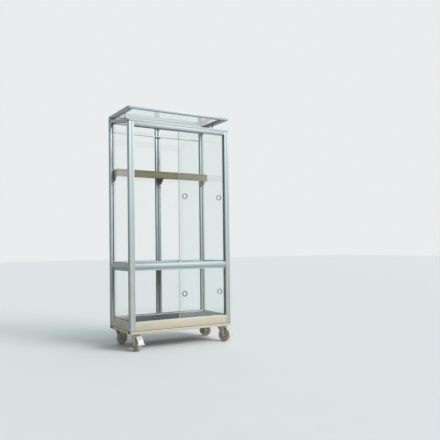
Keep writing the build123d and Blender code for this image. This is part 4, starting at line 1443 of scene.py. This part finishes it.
class GREENHOUSE_OT_stage(bpy.types.Operator):
    """Lay the pale floor, hang the soft lights and set the camera"""

    bl_idname = "greenhouse.stage"
    bl_label = "Stage"

    def execute(self, context):
        stage = context.scene.greenhouse_stage
        self.floor(stage)
        self.sky(context, stage)
        self.sun(context, stage)
        self.camera(context)
        context.scene.view_settings.view_transform = "Standard"
        return {"FINISHED"}

    def floor(self, stage):
        """Pale floor that takes the cabinet's shadow."""
        floor = added(bpy.ops.mesh.primitive_plane_add, size=stage.floor_size,
                      location=(0.0, 0.0, 0.0))
        floor.name = "floor"
        coat(floor, "Floor")

    def sky(self, context, stage):
        """Even backdrop for the eye, metal and glass, and the soft sky that lights."""
        world = bpy.data.worlds.new("Soft Sky")
        world.use_nodes = True
        context.scene.world = world
        tree = world.node_tree
        tree.nodes.clear()
        place = tree.nodes.new("ShaderNodeTexCoord").outputs["Generated"]
        height = ramp_node(tree, separate_node(tree, place)["Z"], low=-0.02, high=0.36)
        colour = mix_colour(tree, height, SKY_LOW, SKY_HIGH)
        towards = vector_node(tree, "DOT_PRODUCT", place, BRIGHT_SIDE).outputs["Value"]
        lit = ramp_node(tree, towards, low=-0.70, high=0.70)
        soft = tree.nodes.new("ShaderNodeBackground")
        feed(tree, soft.inputs["Color"], mix_colour(tree, lit, SKY_DARK_SIDE, colour))
        soft.inputs["Strength"].default_value = stage.sky_strength
        plain = tree.nodes.new("ShaderNodeBackground")
        plain.inputs["Color"].default_value = rgba(stage.background)
        out = tree.nodes.new("ShaderNodeOutputWorld")
        feed(tree, out.inputs["Surface"],
             mix_shaders(tree, seen_or_mirrored(tree), soft, plain))

    def sun(self, context, stage):
        """Soft sun from high in front, a little to the right."""
        light = bpy.data.lights.new("sun", "SUN")
        light.energy = stage.sun_strength
        light.angle = stage.sun_width
        light.color = SUN_COLOUR
        sun = bpy.data.objects.new("sun", light)
        context.scene.collection.objects.link(sun)
        sun.location = SUN_FROM
        sun.rotation_euler = (-Vector(SUN_FROM)).to_track_quat("-Z", "Y").to_euler()

    def camera(self, context):
        """Camera at the photograph's viewing angle."""
        data = bpy.data.cameras.new("camera")
        data.lens = CAMERA_LENS
        data.sensor_width = CAMERA_SENSOR
        data.shift_y = CAMERA_SHIFT_Y
        camera = bpy.data.objects.new("camera", data)
        context.scene.collection.objects.link(camera)
        forward = Vector((math.sin(CAMERA_YAW) * math.cos(CAMERA_PITCH),
                          math.cos(CAMERA_YAW) * math.cos(CAMERA_PITCH),
                          math.sin(CAMERA_PITCH)))
        level = Vector((math.cos(CAMERA_YAW), -math.sin(CAMERA_YAW), 0.0))
        down = forward.cross(level)
        right = level * math.cos(CAMERA_ROLL) + down * math.sin(CAMERA_ROLL)
        down = down * math.cos(CAMERA_ROLL) - level * math.sin(CAMERA_ROLL)
        rotation = Matrix((right, -down, -forward)).transposed()
        camera.matrix_world = Matrix.Translation(CAMERA_PLACE) @ rotation.to_4x4()
        context.scene.camera = camera


class GREENHOUSE_PT_panel(bpy.types.Panel):
    """Sidebar list of the pieces"""

    bl_idname = "GREENHOUSE_PT_panel"
    bl_label = "Glass Greenhouse Cabinet"
    bl_space_type = "VIEW_3D"
    bl_region_type = "UI"
    bl_category = "Greenhouse"

    def draw(self, context):
        for operator in PIECE_OPERATORS:
            self.layout.operator(operator.bl_idname)
        for group in PROPERTY_GROUPS:
            settings = getattr(context.scene, group)
            box = self.layout.box()
            for name in settings.__annotations__:
                box.prop(settings, name)


PROPERTY_GROUPS = {
    "greenhouse_finish": GreenhouseFinish,
    "greenhouse_sizes": GreenhouseSizes,
    "greenhouse_stage": GreenhouseStage,
}
PIECE_OPERATORS = (
    GREENHOUSE_OT_posts,
    GREENHOUSE_OT_rails,
    GREENHOUSE_OT_base,
    GREENHOUSE_OT_glass,
    GREENHOUSE_OT_doors,
    GREENHOUSE_OT_lid,
    GREENHOUSE_OT_props,
    GREENHOUSE_OT_shelf,
    GREENHOUSE_OT_hanging_bar,
    GREENHOUSE_OT_seals,
    GREENHOUSE_OT_screws,
    GREENHOUSE_OT_wheels,
    GREENHOUSE_OT_forks,
    GREENHOUSE_OT_pedals,
    GREENHOUSE_OT_stage,
)


def register():
    """Register the classes and hang the settings on the scene."""
    for name, group in PROPERTY_GROUPS.items():
        bpy.utils.register_class(group)
        setattr(bpy.types.Scene, name, bpy.props.PointerProperty(type=group))
    for operator in PIECE_OPERATORS:
        bpy.utils.register_class(operator)
    bpy.utils.register_class(GREENHOUSE_PT_panel)


def unregister():
    """Take the classes and the settings off again."""
    bpy.utils.unregister_class(GREENHOUSE_PT_panel)
    for operator in reversed(PIECE_OPERATORS):
        bpy.utils.unregister_class(operator)
    for name, group in reversed(PROPERTY_GROUPS.items()):
        delattr(bpy.types.Scene, name)
        bpy.utils.unregister_class(group)


def main():
    """Dress the whole cabinet."""
    register()
    for operator in PIECE_OPERATORS:
        section, call = operator.bl_idname.split(".")
        getattr(getattr(bpy.ops, section), call)()


if __name__ == "__main__":
    main()
